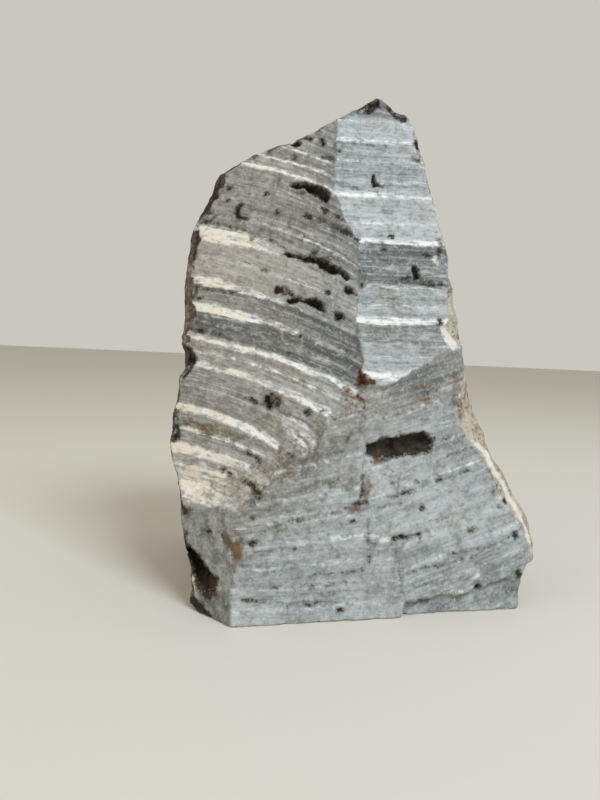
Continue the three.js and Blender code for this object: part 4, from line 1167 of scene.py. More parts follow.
@dataclass(frozen=True)
class SawnBack:
    """The back, sawn in one go with strokes that fall to the right, as seen from the front."""

    seed: int = 5
    plane: Plane = Plane((0.0, 88.0, 0.0), 0.09, -0.14)
    stroke_rise: float = -0.12
    strokes: Strokes = Strokes(
        ledges(
            (8, 2, 2, 0.8, 0.6, 0.3, 0.2), (18, 4, 3, 3, 2, 0.8, 0.6),
            (29, 2, 2, 0.6, 1, 0.2, 0.5), (41, 3, 5, 1.6, 4, 0.5, 1), (52, 2, 2, 1, 0.6, 0.4, 0.1),
            (66, 9, 4, 4.2, 2.6, 1.2, 0.5), (77, 2, 2, 0.7, 0.7, 0.5, 0.2),
            (88, 3, 3, 1.8, 2.4, 0.3, 0.6), (103, 2, 2, 0.8, 0.8, 0.2, 0.5),
            (117, 5, 8, 4.4, 3, 0.8, 1.1), (127, 2, 2, 1, 0.8, 0.5, 0.3),
            (139, 3, 4, 1.4, 3.4, 0.2, 0.7), (152, 2, 2, 0.7, 0.7, 0.5, 0.1),
            (165, 7, 3, 3.6, 1.8, 1.1, 0.4), (178, 2, 2, 0.8, 1, 0.1, 0.5),
            (192, 4, 5, 2.4, 4.4, 0.5, 1), (201, 2, 2, 0.8, 0.6, 0.4, 0.2),
            (211, 3, 3, 2, 1.4, 0.5, 0.2), (226, 2, 2, 0.7, 0.7, 0.2, 0.4),
            (240, 5, 9, 4.2, 3.2, 0.8, 1.2), (251, 2, 2, 0.8, 0.8, 0.5, 0.2),
            (262, 3, 4, 1.6, 3, 0.2, 0.8), (276, 2, 2, 0.8, 0.8, 0.5, 0.3),
            (290, 6, 4, 3.4, 3, 1, 0.7), (304, 2, 2, 0.8, 0.8, 0.5, 0.3),
        ),
        left=-110.0,
        right=110.0,
        seed=21,
        wander=1.1,
    )
    cream_x: Point = (-20.0, 90.0)
    band: Point = (160.0, 19.0)  # length and height of its dark bands
    wear: Wear = BACK_WEAR
    wear_shift: float = 1.4

    def survey(self, x: Array, z: Array) -> Survey:
        """Works out the back at many points: its plane less the ledges and the hollows.

        Args:
            x: Points across the face.
            z: Points up the face.

        Returns:
            The survey, with y as its height.
        """
        noise = Noise(self.seed)
        waver = noise.layered(*WAVER, x, z)
        ragged = noise.layered(*RAGGED, x, z, 40.0)
        stroke = z - self.stroke_rise * x + 0.8 * waver
        back, dust_and_highlight = self.strokes.cut(x, stroke)
        long, tall = self.band
        marks = no_marks(x)
        marks[Mark.SAWN] += 1.0
        # Dust on the ledges, with painted highlight on their upward faces.
        marks[Mark.LEDGE] = dust_and_highlight
        # Cream towards the right: partly painted warm light.
        marks[Mark.CREAM] = rise(x, *self.cream_x)
        marks[Mark.WARM] = 0.2 + 0.6 * rise(waver, -0.5, 0.5)
        marks[Mark.SHADE] = 1.1 * rise(noise.at(1.0, x / long, stroke / tall, 3.0), -0.3, 0.5)
        marks[Mark.PALE] = np.clip(0.4 + 0.5 * waver, 0.0, 1.0)
        depth = add_wear(self.wear, x, z, lambda _: self.wear_shift * ragged, marks)
        y = self.plane.y(x, z) - back - 0.4 * waver - depth
        return Survey(y, x, stroke + 4.0 * APART, marks)


def lumps(u: Array, v: Array) -> Array:
    """Gives the slow lumps of a natural skin, about 3 mm either way, as a sum of waves.

    Args:
        u: First coordinate of the points.
        v: Second coordinate.

    Returns:
        One height for each point.
    """
    return (
        1.5 * np.sin(u / 19 + 0.6) * np.cos(v / 27 + 1.1)
        + 1.1 * np.sin((u + 0.7 * v) / 14 + 2)
        + 0.8 * np.cos((0.8 * u - v) / 9 + 0.4)
    )


BEHIND = (10.0, 80.0)  # depths between which a front edge turns into the rear one


def skin_marks(pale: Array, pit: Array, rough: Array) -> Marks:
    """Gives the marks of a natural skin.

    Args:
        pale: How pale it is, before it is cut off at 0 and 1.
        pit: Its dark hollows.
        rough: Its roughness, which is darker where it is high.

    Returns:
        The marks.
    """
    marks = no_marks(pale)
    marks[Mark.SKIN] += 1.0
    marks[Mark.WARM] += 1.0
    marks[Mark.PALE] = np.clip(pale, 0.0, 1.0)
    marks[Mark.PIT] = pit
    marks[Mark.SHADE] = rise(rough, -0.4, 0.6)
    return marks


@dataclass(frozen=True)
class NaturalSide:
    """A side of the block along a natural joint in the rock, left as it broke."""

    front: SawnFront
    edge: Line  # x at each height where the side meets the front
    edge_back: Line  # and further back
    lean: float  # change of x with y
    lean_from: float  # y at which the edges hold
    away: float  # -1 for the left side and 1 for the right side
    lump: float
    hollows: tuple[tuple[float, ...], ...] = ()  # y, z, long, high and deep of each
    pale: float = 0.0
    seed: int = 31
    facet_deep: float = 3.0
    facet_sizes: Point = (24.0, 11.0)
    facets_from: Point = (0.0, 22.0)  # depths over which the facets begin
    grit: float = 0.65  # height of the finest roughness
    pit_at: Point = (0.75, 1.1)  # noise between which a pit begins and is full
    pale_near: Point = (26.0, 2.0)  # depths between which the front edge turns paler
    pale_vary: float = 0.42
    rust_at: Point = (0.75, 1.25)
    ochre_at: Point = (0.1, 0.9)

    def survey(self, y: Array, z: Array) -> Survey:
        """Works out the side at many points.

        Its edge at the front turns into a straighter edge further back, with lumps, broken
        facets, grit and hollows that grow with the distance from the front.

        Args:
            y: Points from front to back.
            z: Points up the side.

        Returns:
            The survey, with x as its height.
        """
        noise = Noise(self.seed)
        edge = self.edge.at(z)
        depth = y - self.front.mean(edge, z)
        rear = rise(depth, *BEHIND)
        x = edge + rear * (self.edge_back.at(z) - edge) + self.lean * (y - self.lean_from)
        order = (z, y) if self.away > 0 else (y, z)
        x = x + self.lump * rear * lumps(*order)
        large, small = self.facet_sizes
        facets = np.abs(noise.at(large, y, z, 3.0)) + 0.5 * np.abs(noise.at(small, y, z, 50.0))
        broken = rise(depth, *self.facets_from) * (self.facet_deep * facets - 1.0)
        rough = noise.layered(*ROUGH, y, z, 20.0)
        x = x - self.away * broken + self.grit * rough
        pit = rise(noise.layered(15.0, 3, y, z, 61.0), *self.pit_at)
        for middle_y, middle_z, long, high, deep in self.hollows:
            u, v = (y - middle_y) / long, (z - middle_z) / high
            within = 1.0 - np.hypot(u, v) * (1.0 + 0.4 * rough)
            x = x - self.away * deep * np.sqrt(np.clip(within * (2.0 - within), 0.0, 1.0))
            pit = np.maximum(pit, 0.88 * rise(within, 0.0, 0.4))
        pale = self.pale + 0.3 * self.away * rise(depth, *self.pale_near)
        pale = pale + self.pale_vary * noise.layered(34.0, 3, y, z, 9.0)
        marks = skin_marks(pale, pit, rough)
        stained = noise.layered(30.0, 3, y, 0.7 * z, 77.0)
        marks[Mark.RUST] = 0.5 * rise(stained, *self.rust_at)
        marks[Mark.OCHRE] = 0.8 * rise(stained, *self.ochre_at)
        return Survey(x, y, z + 5.0 * APART, marks)


LEFT_EDGE = through(
    (-8, -95), (6, -95), (13, -94.5), (26, -96.5), (42, -102), (62, -106), (77, -111.5),
    (88, -115), (99, -117.5), (112, -118), (125, -115), (139, -114.5), (160, -115), (183, -116),
    (199, -117.7), (216, -116.5), (234, -115), (248, -111.6), (257, -106), (268, -102.5),
    (279, -97), (285, -90), (292, -82), (348, -40),
)
RIGHT_EDGE = through(
    (-8, 109), (8, 109.5), (20, 112.5), (29, 115.5), (33, 120.5), (45, 119), (57, 117),
    (64, 113.5), (72, 108.5), (85, 99.5), (97, 90), (112, 86), (119, 83), (127, 77.5), (134, 72),
    (148, 66.5), (162, 64.5), (184, 63.7), (195, 61.3), (213, 57), (232, 54), (243, 50.7),
    (255, 47.5), (281, 41), (302, 35.5), (314, 31), (348, 20),
)
LEFT_EDGE_BACK = through((-8, -101), (50, -111), (130, -115), (210, -112), (265, -99), (348, -60))
RIGHT_EDGE_BACK = through((-8, 112), (40, 114), (80, 103), (130, 82), (200, 63), (348, 30))


@dataclass(frozen=True)
class Roof:
    """The top of the block, a natural skin that falls to the back."""

    front: SawnFront
    seed: int = 41
    edge: Line = through(
        (-135, 262), (-96, 279), (-84, 285), (-74, 289.5), (-60, 293.3), (-47, 298.2),
        (-35.5, 302.8), (-26, 308), (-15, 315), (-5.5, 322), (5, 330), (9.5, 329.2), (14, 326.6),
        (20, 321), (25, 319.5), (28, 316.7), (33, 308), (60, 290), (135, 250),
    )
    edge_back: Line = through(
        (-135, 250), (-90, 276), (-40, 292), (5, 312), (30, 306), (70, 280), (135, 240),
    )
    fall: float = -0.16
    fall_from: float = -8.0
    lump: float = 0.8
    facet_deep: float = 1.8
    facet_size: float = 15.0
    facets_from: Point = (0.0, 18.0)  # depths over which the facets begin
    grit: float = 0.5
    pit_at: Point = (0.7, 1.1)

    def survey(self, x: Array, y: Array) -> Survey:
        """Works out the roof at many points.

        Its line along the front turns into a straighter one further back and falls evenly
        to the back, with lumps, facets and grit.

        Args:
            x: Points across the block.
            y: Points from front to back.

        Returns:
            The survey, with z as its height.
        """
        noise = Noise(self.seed)
        edge = self.edge.at(x)
        depth = y - self.front.mean(x, edge)
        rear = rise(depth, *BEHIND)
        z = edge + rear * (self.edge_back.at(x) - edge) + self.fall * (y - self.fall_from)
        rough = noise.layered(*ROUGH, x, y)
        z = z + self.lump * rear * lumps(x, 1.7 * y)
        facets = self.facet_deep * np.abs(noise.at(self.facet_size, x, y, 9.0))
        z = z - rise(depth, *self.facets_from) * facets + self.grit * rough
        pale = 0.4 + 0.6 * noise.layered(20.0, 3, x, y, 30.0)
        pit = rise(noise.layered(9.0, 3, x, y, 61.0), *self.pit_at)
        return Survey(z, x, y + 6.0 * APART, skin_marks(pale, pit, rough))


Face = SawnFront | SawnBack | NaturalSide | Roof


@dataclass(frozen=True)
class Chip:
    """A corner that broke off along a plane through a point, which faces a direction."""

    at: Place
    facing: Place
    rough: float = 1.3

    def outside(self, p: Array, noise: Array) -> Array:
        """Gives how far each point lies beyond the rough plane of the break."""
        normal = np.array(self.facing) / np.linalg.norm(self.facing)
        return (p - np.array(self.at)) @ normal + self.rough * noise


# ---- The whole block ----------------------------------------------------------------------


class Wall(Enum):
    """The faces of the block, in the order in which they go round it."""

    FRONT = 0
    RIGHT = 1
    BACK = 2
    LEFT = 3
    ROOF = 4
    FOOT = 5
    CHIP = 6


@dataclass
class SoapstoneBlock:
    """The stone, as one closed surface of rings from the foot to the middle of the roof."""

    front: SawnFront = field(default_factory=SawnFront)
    back: SawnBack = field(default_factory=SawnBack)
    chips: tuple[Chip, ...] = (
        Chip((-84, -78, 0), (-0.47, -0.37, -0.8)),
        Chip((-98, 74, 6), (-0.6, 0.62, -0.5)),
        Chip((104, 82, 14), (0.66, 0.62, -0.42)),
        Chip((-91, 44, 258), (-0.7, 0.6, 0.4)),
        Chip((36, 42, 288), (0.66, 0.64, 0.4)),
    )
    seed: int = 51
    reach: Place = (135.0, 125.0, 350.0)  # of the height maps in x, y and z
    below: float = -5.0  # where they start in z
    front_step: float = 0.6  # between the points of the front's height map
    other_step: float = 1.0
    columns: tuple[int, int, int, int] = (170, 40, 60, 40)
    rows: int = 288
    roof_rings: int = 18
    inner_ring: float = 0.6  # distance of the last ring from the middle, in rings
    roof_middle: Point = (-30.0, 20.0)
    foot_inset: float = 5.0
    top: float = 346.0
    table_step: float = 0.5  # between heights at which the corners are worked out
    lowest_rim: float = 150.0
    edge_round: Point = (1.0, 5.0)  # least and most rounding of an edge
    foot_zone: Point = (12.0, 3.0)  # heights over which the rounding falls to a share
    foot_round: float = 0.4
    crumb_width: float = 2.5  # of the zone along an edge that crumbs break out of
    crumb_deep: float = 0.5
    crumb_size: float = 4.0
    bruise_width: float = 1.6  # of the bruised line along an edge
    bruise_length: float = 6.0
    newton_steps: int = 4

    def __post_init__(self) -> None:
        """Makes the sides and the roof, and works out every height map."""
        self.noise = Noise(self.seed)
        self.left = NaturalSide(
            self.front,
            LEFT_EDGE,
            LEFT_EDGE_BACK,
            lean=0.06,
            lean_from=-5.0,
            away=-1.0,
            lump=1.0,
            hollows=(
                (-60, 34, 10, 6, 0), (-27, 150, 10, 13, 6), (-36, 109, 6, 8, 3),
                (24, 196, 15, 12, 4), (5, 66, 20, 11, 4), (48, 128, 12, 18, 5),
            ),
            pale=0.3,
        )
        self.right = NaturalSide(
            self.front,
            RIGHT_EDGE,
            RIGHT_EDGE_BACK,
            lean=-0.05,
            lean_from=-30.0,
            away=1.0,
            lump=0.9,
            pale=0.65,
            seed=32,
        )
        self.roof = Roof(self.front)
        x, y, z = self.reach
        across = (-x, self.below), (x, z)
        along = (-y, self.below), (y, z)
        over = (-x, -y), (x, y)
        self.reliefs = {
            Wall.FRONT: Relief.of(self.front, *across, self.front_step),
            Wall.BACK: Relief.of(self.back, *across, self.other_step),
            Wall.LEFT: Relief.of(self.left, *along, self.other_step),
            Wall.RIGHT: Relief.of(self.right, *along, self.other_step),
            Wall.ROOF: Relief.of(self.roof, *over, self.other_step),
        }

    def beyond(self, p: Array) -> Array:
        """Gives how far each point lies beyond each wall, one row for each wall.

        Args:
            p: Points, one in each row.

        Returns:
            Distances in the order of Wall, above zero outside the stone.
        """
        x, y, z = p.T
        at = {wall: relief.at for wall, relief in self.reliefs.items()}
        rough = self.noise.layered(9.0, 3, *p.T)
        chipped = [chip.outside(p, rough) for chip in self.chips]
        return np.array(
            [
                at[Wall.FRONT](x, z) - y,
                x - at[Wall.RIGHT](y, z),
                y - at[Wall.BACK](x, z),
                at[Wall.LEFT](y, z) - x,
                z - at[Wall.ROOF](x, y),
                -z,
                np.max(chipped, axis=0),
            ]
        )

    def _rounding(self, p: Array) -> Array:
        """Gives how wide the edges are rounded near each point, which varies with noise.

        Args:
            p: Points, one in each row.

        Returns:
            One width for each point, less near the foot.
        """
        least, most = self.edge_round
        wear = rise(self.noise.layered(16.0, 3, *p.T), -0.2, 1.0)
        near_foot = rise(p[:, 2], *self.foot_zone)
        share = 1.0 - (1.0 - self.foot_round) * near_foot
        return (least + (most - least) * wear) * share

    def outside(self, p: Array) -> Array:
        """Gives how far each point lies outside the stone with its edges rounded.

        It is the rounded largest of the distances beyond the walls, and crumbs are broken
        out of the edges by noise that counts only where two walls are near.

        Args:
            p: Points, one in each row.

        Returns:
            One distance for each point.
        """
        walls = self.beyond(p)
        width = self._rounding(p)
        result = walls[0]
        for wall in walls[1:]:
            result = rounded_max(result, wall, width)
        second, first = np.sort(walls, axis=0)[-2:]
        near_edge = rise(first - second, self.crumb_width, 0.0)
        broken = rise(self.noise.at(self.crumb_size, *p.T), 0.0, 0.8)
        return result + self.crumb_deep * near_edge * broken

    def _corner(self, face: Wall, side: Wall, start: Point, z: Array) -> tuple[Array, Array]:
        """Finds where a face and a side meet at each height, by going from one to the other.

        Args:
            face: The front or the back.
            side: The left or right side.
            start: A first guess of x and y.
            z: Heights, evenly spaced.

        Returns:
            x and y of the corner at each height, evened out over a few millimetres.
        """
        rounds, half_window = 40, 7
        x, y = (np.full(z.shape, value) for value in start)
        for _ in range(rounds):
            y = self.reliefs[face].at(x, z)
            x = 0.5 * (x + self.reliefs[side].at(y, z))
        kernel = np.hanning(2 * half_window + 1)
        padded = np.pad(x, half_window, mode="edge")
        x = np.convolve(padded, kernel / kernel.sum(), mode="valid")
        return x, self.reliefs[face].at(x, z)

    def _ring(self, z: Array) -> Array:
        """Places the columns of the walls.

        A column of the front or back keeps its share of the way between the two corners in
        x and reads y from the height map, and a column of a side does the same the other
        way round.

        Args:
            z: Heights, one row for each column.

        Returns:
            Points in the shape of z, with x, y and z last.
        """
        table = np.arange(0.0, self.top, self.table_step)
        corners = {
            wall: self._corner(face, side, start, table)
            for wall, face, side, start in (
                (Wall.FRONT, Wall.FRONT, Wall.LEFT, (-100.0, -50.0)),
                (Wall.RIGHT, Wall.FRONT, Wall.RIGHT, (80.0, -40.0)),
                (Wall.BACK, Wall.BACK, Wall.RIGHT, (80.0, 60.0)),
                (Wall.LEFT, Wall.BACK, Wall.LEFT, (-100.0, 60.0)),
            )
        }
        order = list(corners)
        points, first = [], 0
        for n, wall in enumerate(order):
            rows = z[first : first + self.columns[n]]
            share = np.arange(self.columns[n])[:, None] / self.columns[n]
            (x0, y0), (x1, y1) = corners[wall], corners[order[(n + 1) % 4]]
            across = wall in (Wall.FRONT, Wall.BACK)
            begin, end = (
                np.interp(rows, table, value) for value in ((x0, x1) if across else (y0, y1))
            )
            moving = begin + share * (end - begin)
            read = self.reliefs[wall].at(moving, rows)
            x, y = (moving, read) if across else (read, moving)
            points.append(np.stack([x, y, rows], axis=-1))
            first += self.columns[n]
        return np.concatenate(points)

    def _rim(self) -> Array:
        """Finds the height at which each column reaches the roof.

        Returns:
            One height for each column.
        """
        table = np.arange(self.lowest_rim, self.top - 1.0, self.table_step)
        z = np.broadcast_to(table, (sum(self.columns), table.size))
        ring = self._ring(z)
        over = z - self.reliefs[Wall.ROOF].at(ring[..., 0], ring[..., 1])
        after = np.argmax(over > 0.0, axis=1)
        each = np.arange(len(over))
        before = over[each, after - 1]
        past = over[each, after]
        return table[after] - self.table_step * past / (past - before)

    def _settled(self, p: Array) -> Array:
        """Moves points onto the rounded stone by Newton steps along the slope of outside.

        Args:
            p: Points, one in each row.

        Returns:
            The moved points.
        """
        reach, longest, least_slope = 0.3, 1.5, 0.4
        for _ in range(self.newton_steps):
            here = self.outside(p)
            slope = np.stack(
                [(self.outside(p + reach * way) - here) / reach for way in np.eye(3)], axis=1
            )
            steep = np.maximum((slope**2).sum(axis=1), least_slope)
            move = -(here / steep)[:, None] * slope
            length = np.linalg.norm(move, axis=1, keepdims=True)
            p = p + move * np.minimum(1.0, longest / np.maximum(length, 1e-9))
        return p

    def build(self) -> bpy.types.Object:
        """Builds the stone's mesh and writes its marks as point attributes.

        The grid's rows are a ring inside the foot, the rings of the walls, and rings of the
        roof that shrink to its middle. A vertex closes the foot and one closes the roof.

        Returns:
            The new object.
        """
        rim = self._rim()
        share = np.linspace(0.0, 1.0, self.rows)
        walls = self._ring(rim[:, None] * share)
        edge = walls[:, -1, :2]
        shrink = 1.0 - np.arange(1, self.roof_rings + 1) / (self.roof_rings + self.inner_ring)
        middle = np.array(self.roof_middle)
        plan = middle + (edge - middle)[:, None, :] * shrink[:, None]
        height = self.reliefs[Wall.ROOF].at(plan[..., 0], plan[..., 1])
        roof = np.concatenate([plan, height[..., None]], axis=-1)
        grid = np.concatenate([walls, roof], axis=1)
        columns, rows = grid.shape[:2]
        settled = self._settled(grid.reshape(-1, 3)).reshape(grid.shape)

        foot = settled[:, 0, :].copy()
        centre = foot.mean(axis=0)
        outward = foot - centre
        outward[:, 2] = 0.0
        long = np.linalg.norm(outward, axis=1, keepdims=True)
        foot = centre + outward * (1.0 - self.foot_inset / long)
        foot[:, 2] = 0.0
        settled = np.concatenate([foot[:, None, :], settled], axis=1)
        settled[..., 2] = np.maximum(settled[..., 2], 0.0)
        rows += 1

        top = np.array([[*middle, self.reliefs[Wall.ROOF].at(*middle[:, None])[0]]])
        bottom = np.array([[*foot.mean(axis=0)[:2], 0.0]])
        points = np.concatenate([settled.reshape(-1, 3), bottom, top])
        index = np.arange(columns * rows).reshape(columns, rows)
        onward = np.roll(index, -1, axis=0)
        quads = np.stack(
            [index[:, :-1], onward[:, :-1], onward[:, 1:], index[:, 1:]], axis=-1
        ).reshape(-1, 4)
        low, high = columns * rows, columns * rows + 1
        under = np.stack([onward[:, 0], index[:, 0], np.full(columns, low)], axis=1)
        over = np.stack([index[:, -1], onward[:, -1], np.full(columns, high)], axis=1)
        stone = new_mesh_object(
            "soapstone_stone", points * MM, [*quads.tolist(), *under.tolist(), *over.tolist()]
        )
        self._write_marks(stone.data, points)
        return stone

    def _write_marks(self, mesh: bpy.types.Mesh, p: Array) -> None:
        """Writes each mark and the place along and across the strokes to the mesh.

        A point takes its marks from the wall that it lies on.

        Args:
            mesh: The stone's mesh.
            p: Its points in millimetres.
        """
        x, y, z = p.T
        walls = self.beyond(p)
        owner = np.argmax(walls, axis=0)
        second, first = np.sort(walls, axis=0)[-2:]
        bruise = 0.8 * rise(first - second, self.bruise_width, 0.0)
        bruise = bruise * rise(self.noise.at(self.bruise_length, *p.T), 0.0, 0.5)
        surveys = {
            Wall.FRONT: self.front.survey(x, z),
            Wall.RIGHT: self.right.survey(y, z),
            Wall.BACK: self.back.survey(x, z),
            Wall.LEFT: self.left.survey(y, z),
            Wall.ROOF: self.roof.survey(x, y),
        }
        surveys[Wall.FOOT] = surveys[Wall.BACK]
        surveys[Wall.CHIP] = surveys[Wall.ROOF]
        masks = [owner == wall.value for wall in surveys]
        for mark in Mark:
            value = np.select(masks, [s.marks[mark] for s in surveys.values()])
            if mark is Mark.CHALK:
                value = np.maximum(value, bruise)
            attribute = mesh.attributes.new(mark.value, "FLOAT", "POINT")
            attribute.data.foreach_set("value", value.astype(np.float32))
        run = np.select(masks, [s.run for s in surveys.values()])
        stroke = np.select(masks, [s.stroke for s in surveys.values()])
        grain = np.stack([run, stroke, np.zeros(len(p))], axis=1) * MM
        attribute = mesh.attributes.new(GRAIN, "FLOAT_VECTOR", "POINT")
        attribute.data.foreach_set("vector", grain.astype(np.float32).ravel())


def new_mesh_object(name: str, points: Array, faces: list[list[int]]) -> bpy.types.Object:
    """Makes a smooth-shaded mesh object at the origin and links it to the scene.

    Args:
        name: Name of the object and of its mesh.
        points: Points in metres, one in each row.
        faces: Point numbers of each face.

    Returns:
        The new object.
    """
    mesh = bpy.data.meshes.new(name)
    mesh.from_pydata(points.tolist(), [], faces)
    mesh.polygons.foreach_set("use_smooth", np.ones(len(faces), bool))
    mesh.update()
    thing = bpy.data.objects.new(name, mesh)
    bpy.context.scene.collection.objects.link(thing)
    return thing


# ---- Finishes -----------------------------------------------------------------------------

Tree = bpy.types.NodeTree
Socket = bpy.types.NodeSocket


def linear(colour: str) -> tuple[float, ...]:
    """Turns an sRGB hex colour into linear values for a shader's socket.

    Args:
        colour: Six hex digits.

    Returns:
        Linear red, green and blue, and 1 for alpha.
    """
    values = [int(colour[i : i + 2], 16) / 255.0 for i in (0, 2, 4)]
    red, green, blue = (
        v / 12.92 if v <= 0.04045 else ((v + 0.055) / 1.055) ** 2.4 for v in values
    )
    return (red, green, blue, 1.0)


def add_node(
    tree: Tree,
    kind: str,
    settings: dict[str, object] | None = None,
    inputs: dict[str | int, object] | None = None,
) -> bpy.types.Node:
    """Adds a node with its settings and links.

    Args:
        tree: Node tree that gets the node.
        kind: Blender's name for the type of node.
        settings: Properties to set.
        inputs: For each input, the socket to link to it or its value.

    Returns:
        The new node.
    """
    node = tree.nodes.new(kind)
    for name, value in (settings or {}).items():
        setattr(node, name, value)
    for name, value in (inputs or {}).items():
        if isinstance(value, Socket):
            tree.links.new(value, node.inputs[name])
        else:
            node.inputs[name].default_value = value
    return node


class Pattern(Enum):
    """The noises that break up the stone's colours, with their sizes in millimetres.

    The first is the size along the saw strokes and the second the size across them. A
    pattern with one size lies in the stone itself.
    """

    TEETH = (7.0, 1.7)  # the teeth's fine streaks
    BAND = (85.0, 3.2)  # strokes that bit more or less
    TEAR = (9.0, 1.5)  # torn grains along a stroke
    GRIT = (1.5,)  # talc grains, drawn coarse enough to show
    SPECK = (3.4,)
    MOTTLE = (9.0,)
    CLOUD = (26.0,)


Sockets = dict[Mark | Pattern, Socket]
SMOOTH = {"interpolation_type": "SMOOTHSTEP"}
TIMES = {"operation": "MULTIPLY"}
TIMES_AND_PLUS = {"operation": "MULTIPLY_ADD"}


@dataclass(frozen=True)
class Tint:
    """A colour that is mixed in where a pattern is strong, in the measure of some marks."""

    colour: str
    pattern: Pattern
    begins: float
    full: float
    most: float
    marks: tuple[Mark, ...] = ()

    def over(self, tree: Tree, under: Socket, sockets: Sockets) -> Socket:
        """Mixes the tint into a colour.

        Args:
            tree: The material's node tree.
            under: The colour so far.
            sockets: Output of each mark and pattern.

        Returns:
            The new colour's socket.
        """
        ends = {"From Min": self.begins, "From Max": self.full, "To Max": self.most}
        inputs = {"Value": sockets[self.pattern]} | ends
        amount = add_node(tree, "ShaderNodeMapRange", SMOOTH, inputs).outputs[0]
        for mark in self.marks:
            inputs = {0: amount, 1: sockets[mark]}
            amount = add_node(tree, "ShaderNodeMath", TIMES, inputs).outputs[0]
        inputs = {0: amount, 6: under, 7: linear(self.colour)}
        return add_node(tree, "ShaderNodeMix", {"data_type": "RGBA"}, inputs).outputs[2]


@dataclass(frozen=True)
class Coat:
    """A colour that covers the stone where the product of its marks is strong enough."""

    colour: str
    marks: tuple[Mark, ...]
    ragged: tuple[tuple[Pattern, float], ...]  # how much each pattern moves its border
    begins: float
    full: float
    most: float
    shown_from: float = 0.3  # strength above which it covers in full

    def over(self, tree: Tree, under: Socket, sockets: Sockets) -> Socket:
        """Lays the coat over a colour.

        Args:
            tree: The material's node tree.
            under: The colour so far.
            sockets: Output of each mark and pattern.

        Returns:
            The new colour's socket.
        """
        strength = sockets[self.marks[0]]
        for mark in self.marks[1:]:
            inputs = {0: strength, 1: sockets[mark]}
            strength = add_node(tree, "ShaderNodeMath", TIMES, inputs).outputs[0]
        gathered, middle = strength, 0.0
        for pattern, share in self.ragged:  # a pattern's mean is a half
            inputs = {0: sockets[pattern], 1: share, 2: gathered}
            gathered = add_node(tree, "ShaderNodeMath", TIMES_AND_PLUS, inputs).outputs[0]
            middle += 0.5 * share
        ends = {"From Min": self.begins + middle, "From Max": self.full + middle}
        inputs = {"Value": gathered, "To Max": self.most} | ends
        covered = add_node(tree, "ShaderNodeMapRange", SMOOTH, inputs).outputs[0]
        # Away from the marks the patterns alone add nothing.
        inputs = {"Value": strength, "From Min": 0.0, "From Max": self.shown_from}
        marked = add_node(tree, "ShaderNodeMapRange", SMOOTH, inputs).outputs[0]
        inputs = {0: covered, 1: marked}
        amount = add_node(tree, "ShaderNodeMath", TIMES, inputs).outputs[0]
        inputs = {0: amount, 6: under, 7: linear(self.colour)}
        return add_node(tree, "ShaderNodeMix", {"data_type": "RGBA"}, inputs).outputs[2]


STONE = "b8c0c3"
WARM_STONE = "aaa79f"
DARK_STREAK_AND_SHADE = "575a5a"
LIGHT_STREAK = "c9cbc6"
TORN = "35312c"
TAN = "8d8271"
PALE_DUST_AND_HIGHLIGHT = "e2e5e2"
CREAM_WHITE = "d6cebb"
BROWN_SKIN = "453a2f"
PALE_SKIN = "a9a392"
HOLLOW = "2a2418"
DEEP_HOLLOW = "120e0a"
HOLLOW_EARTH = "5e5232"
OCHRE = "5f4719"
RUST = "40200f"
RED_RUST = "64432a"
CHALK = "dedbcf"


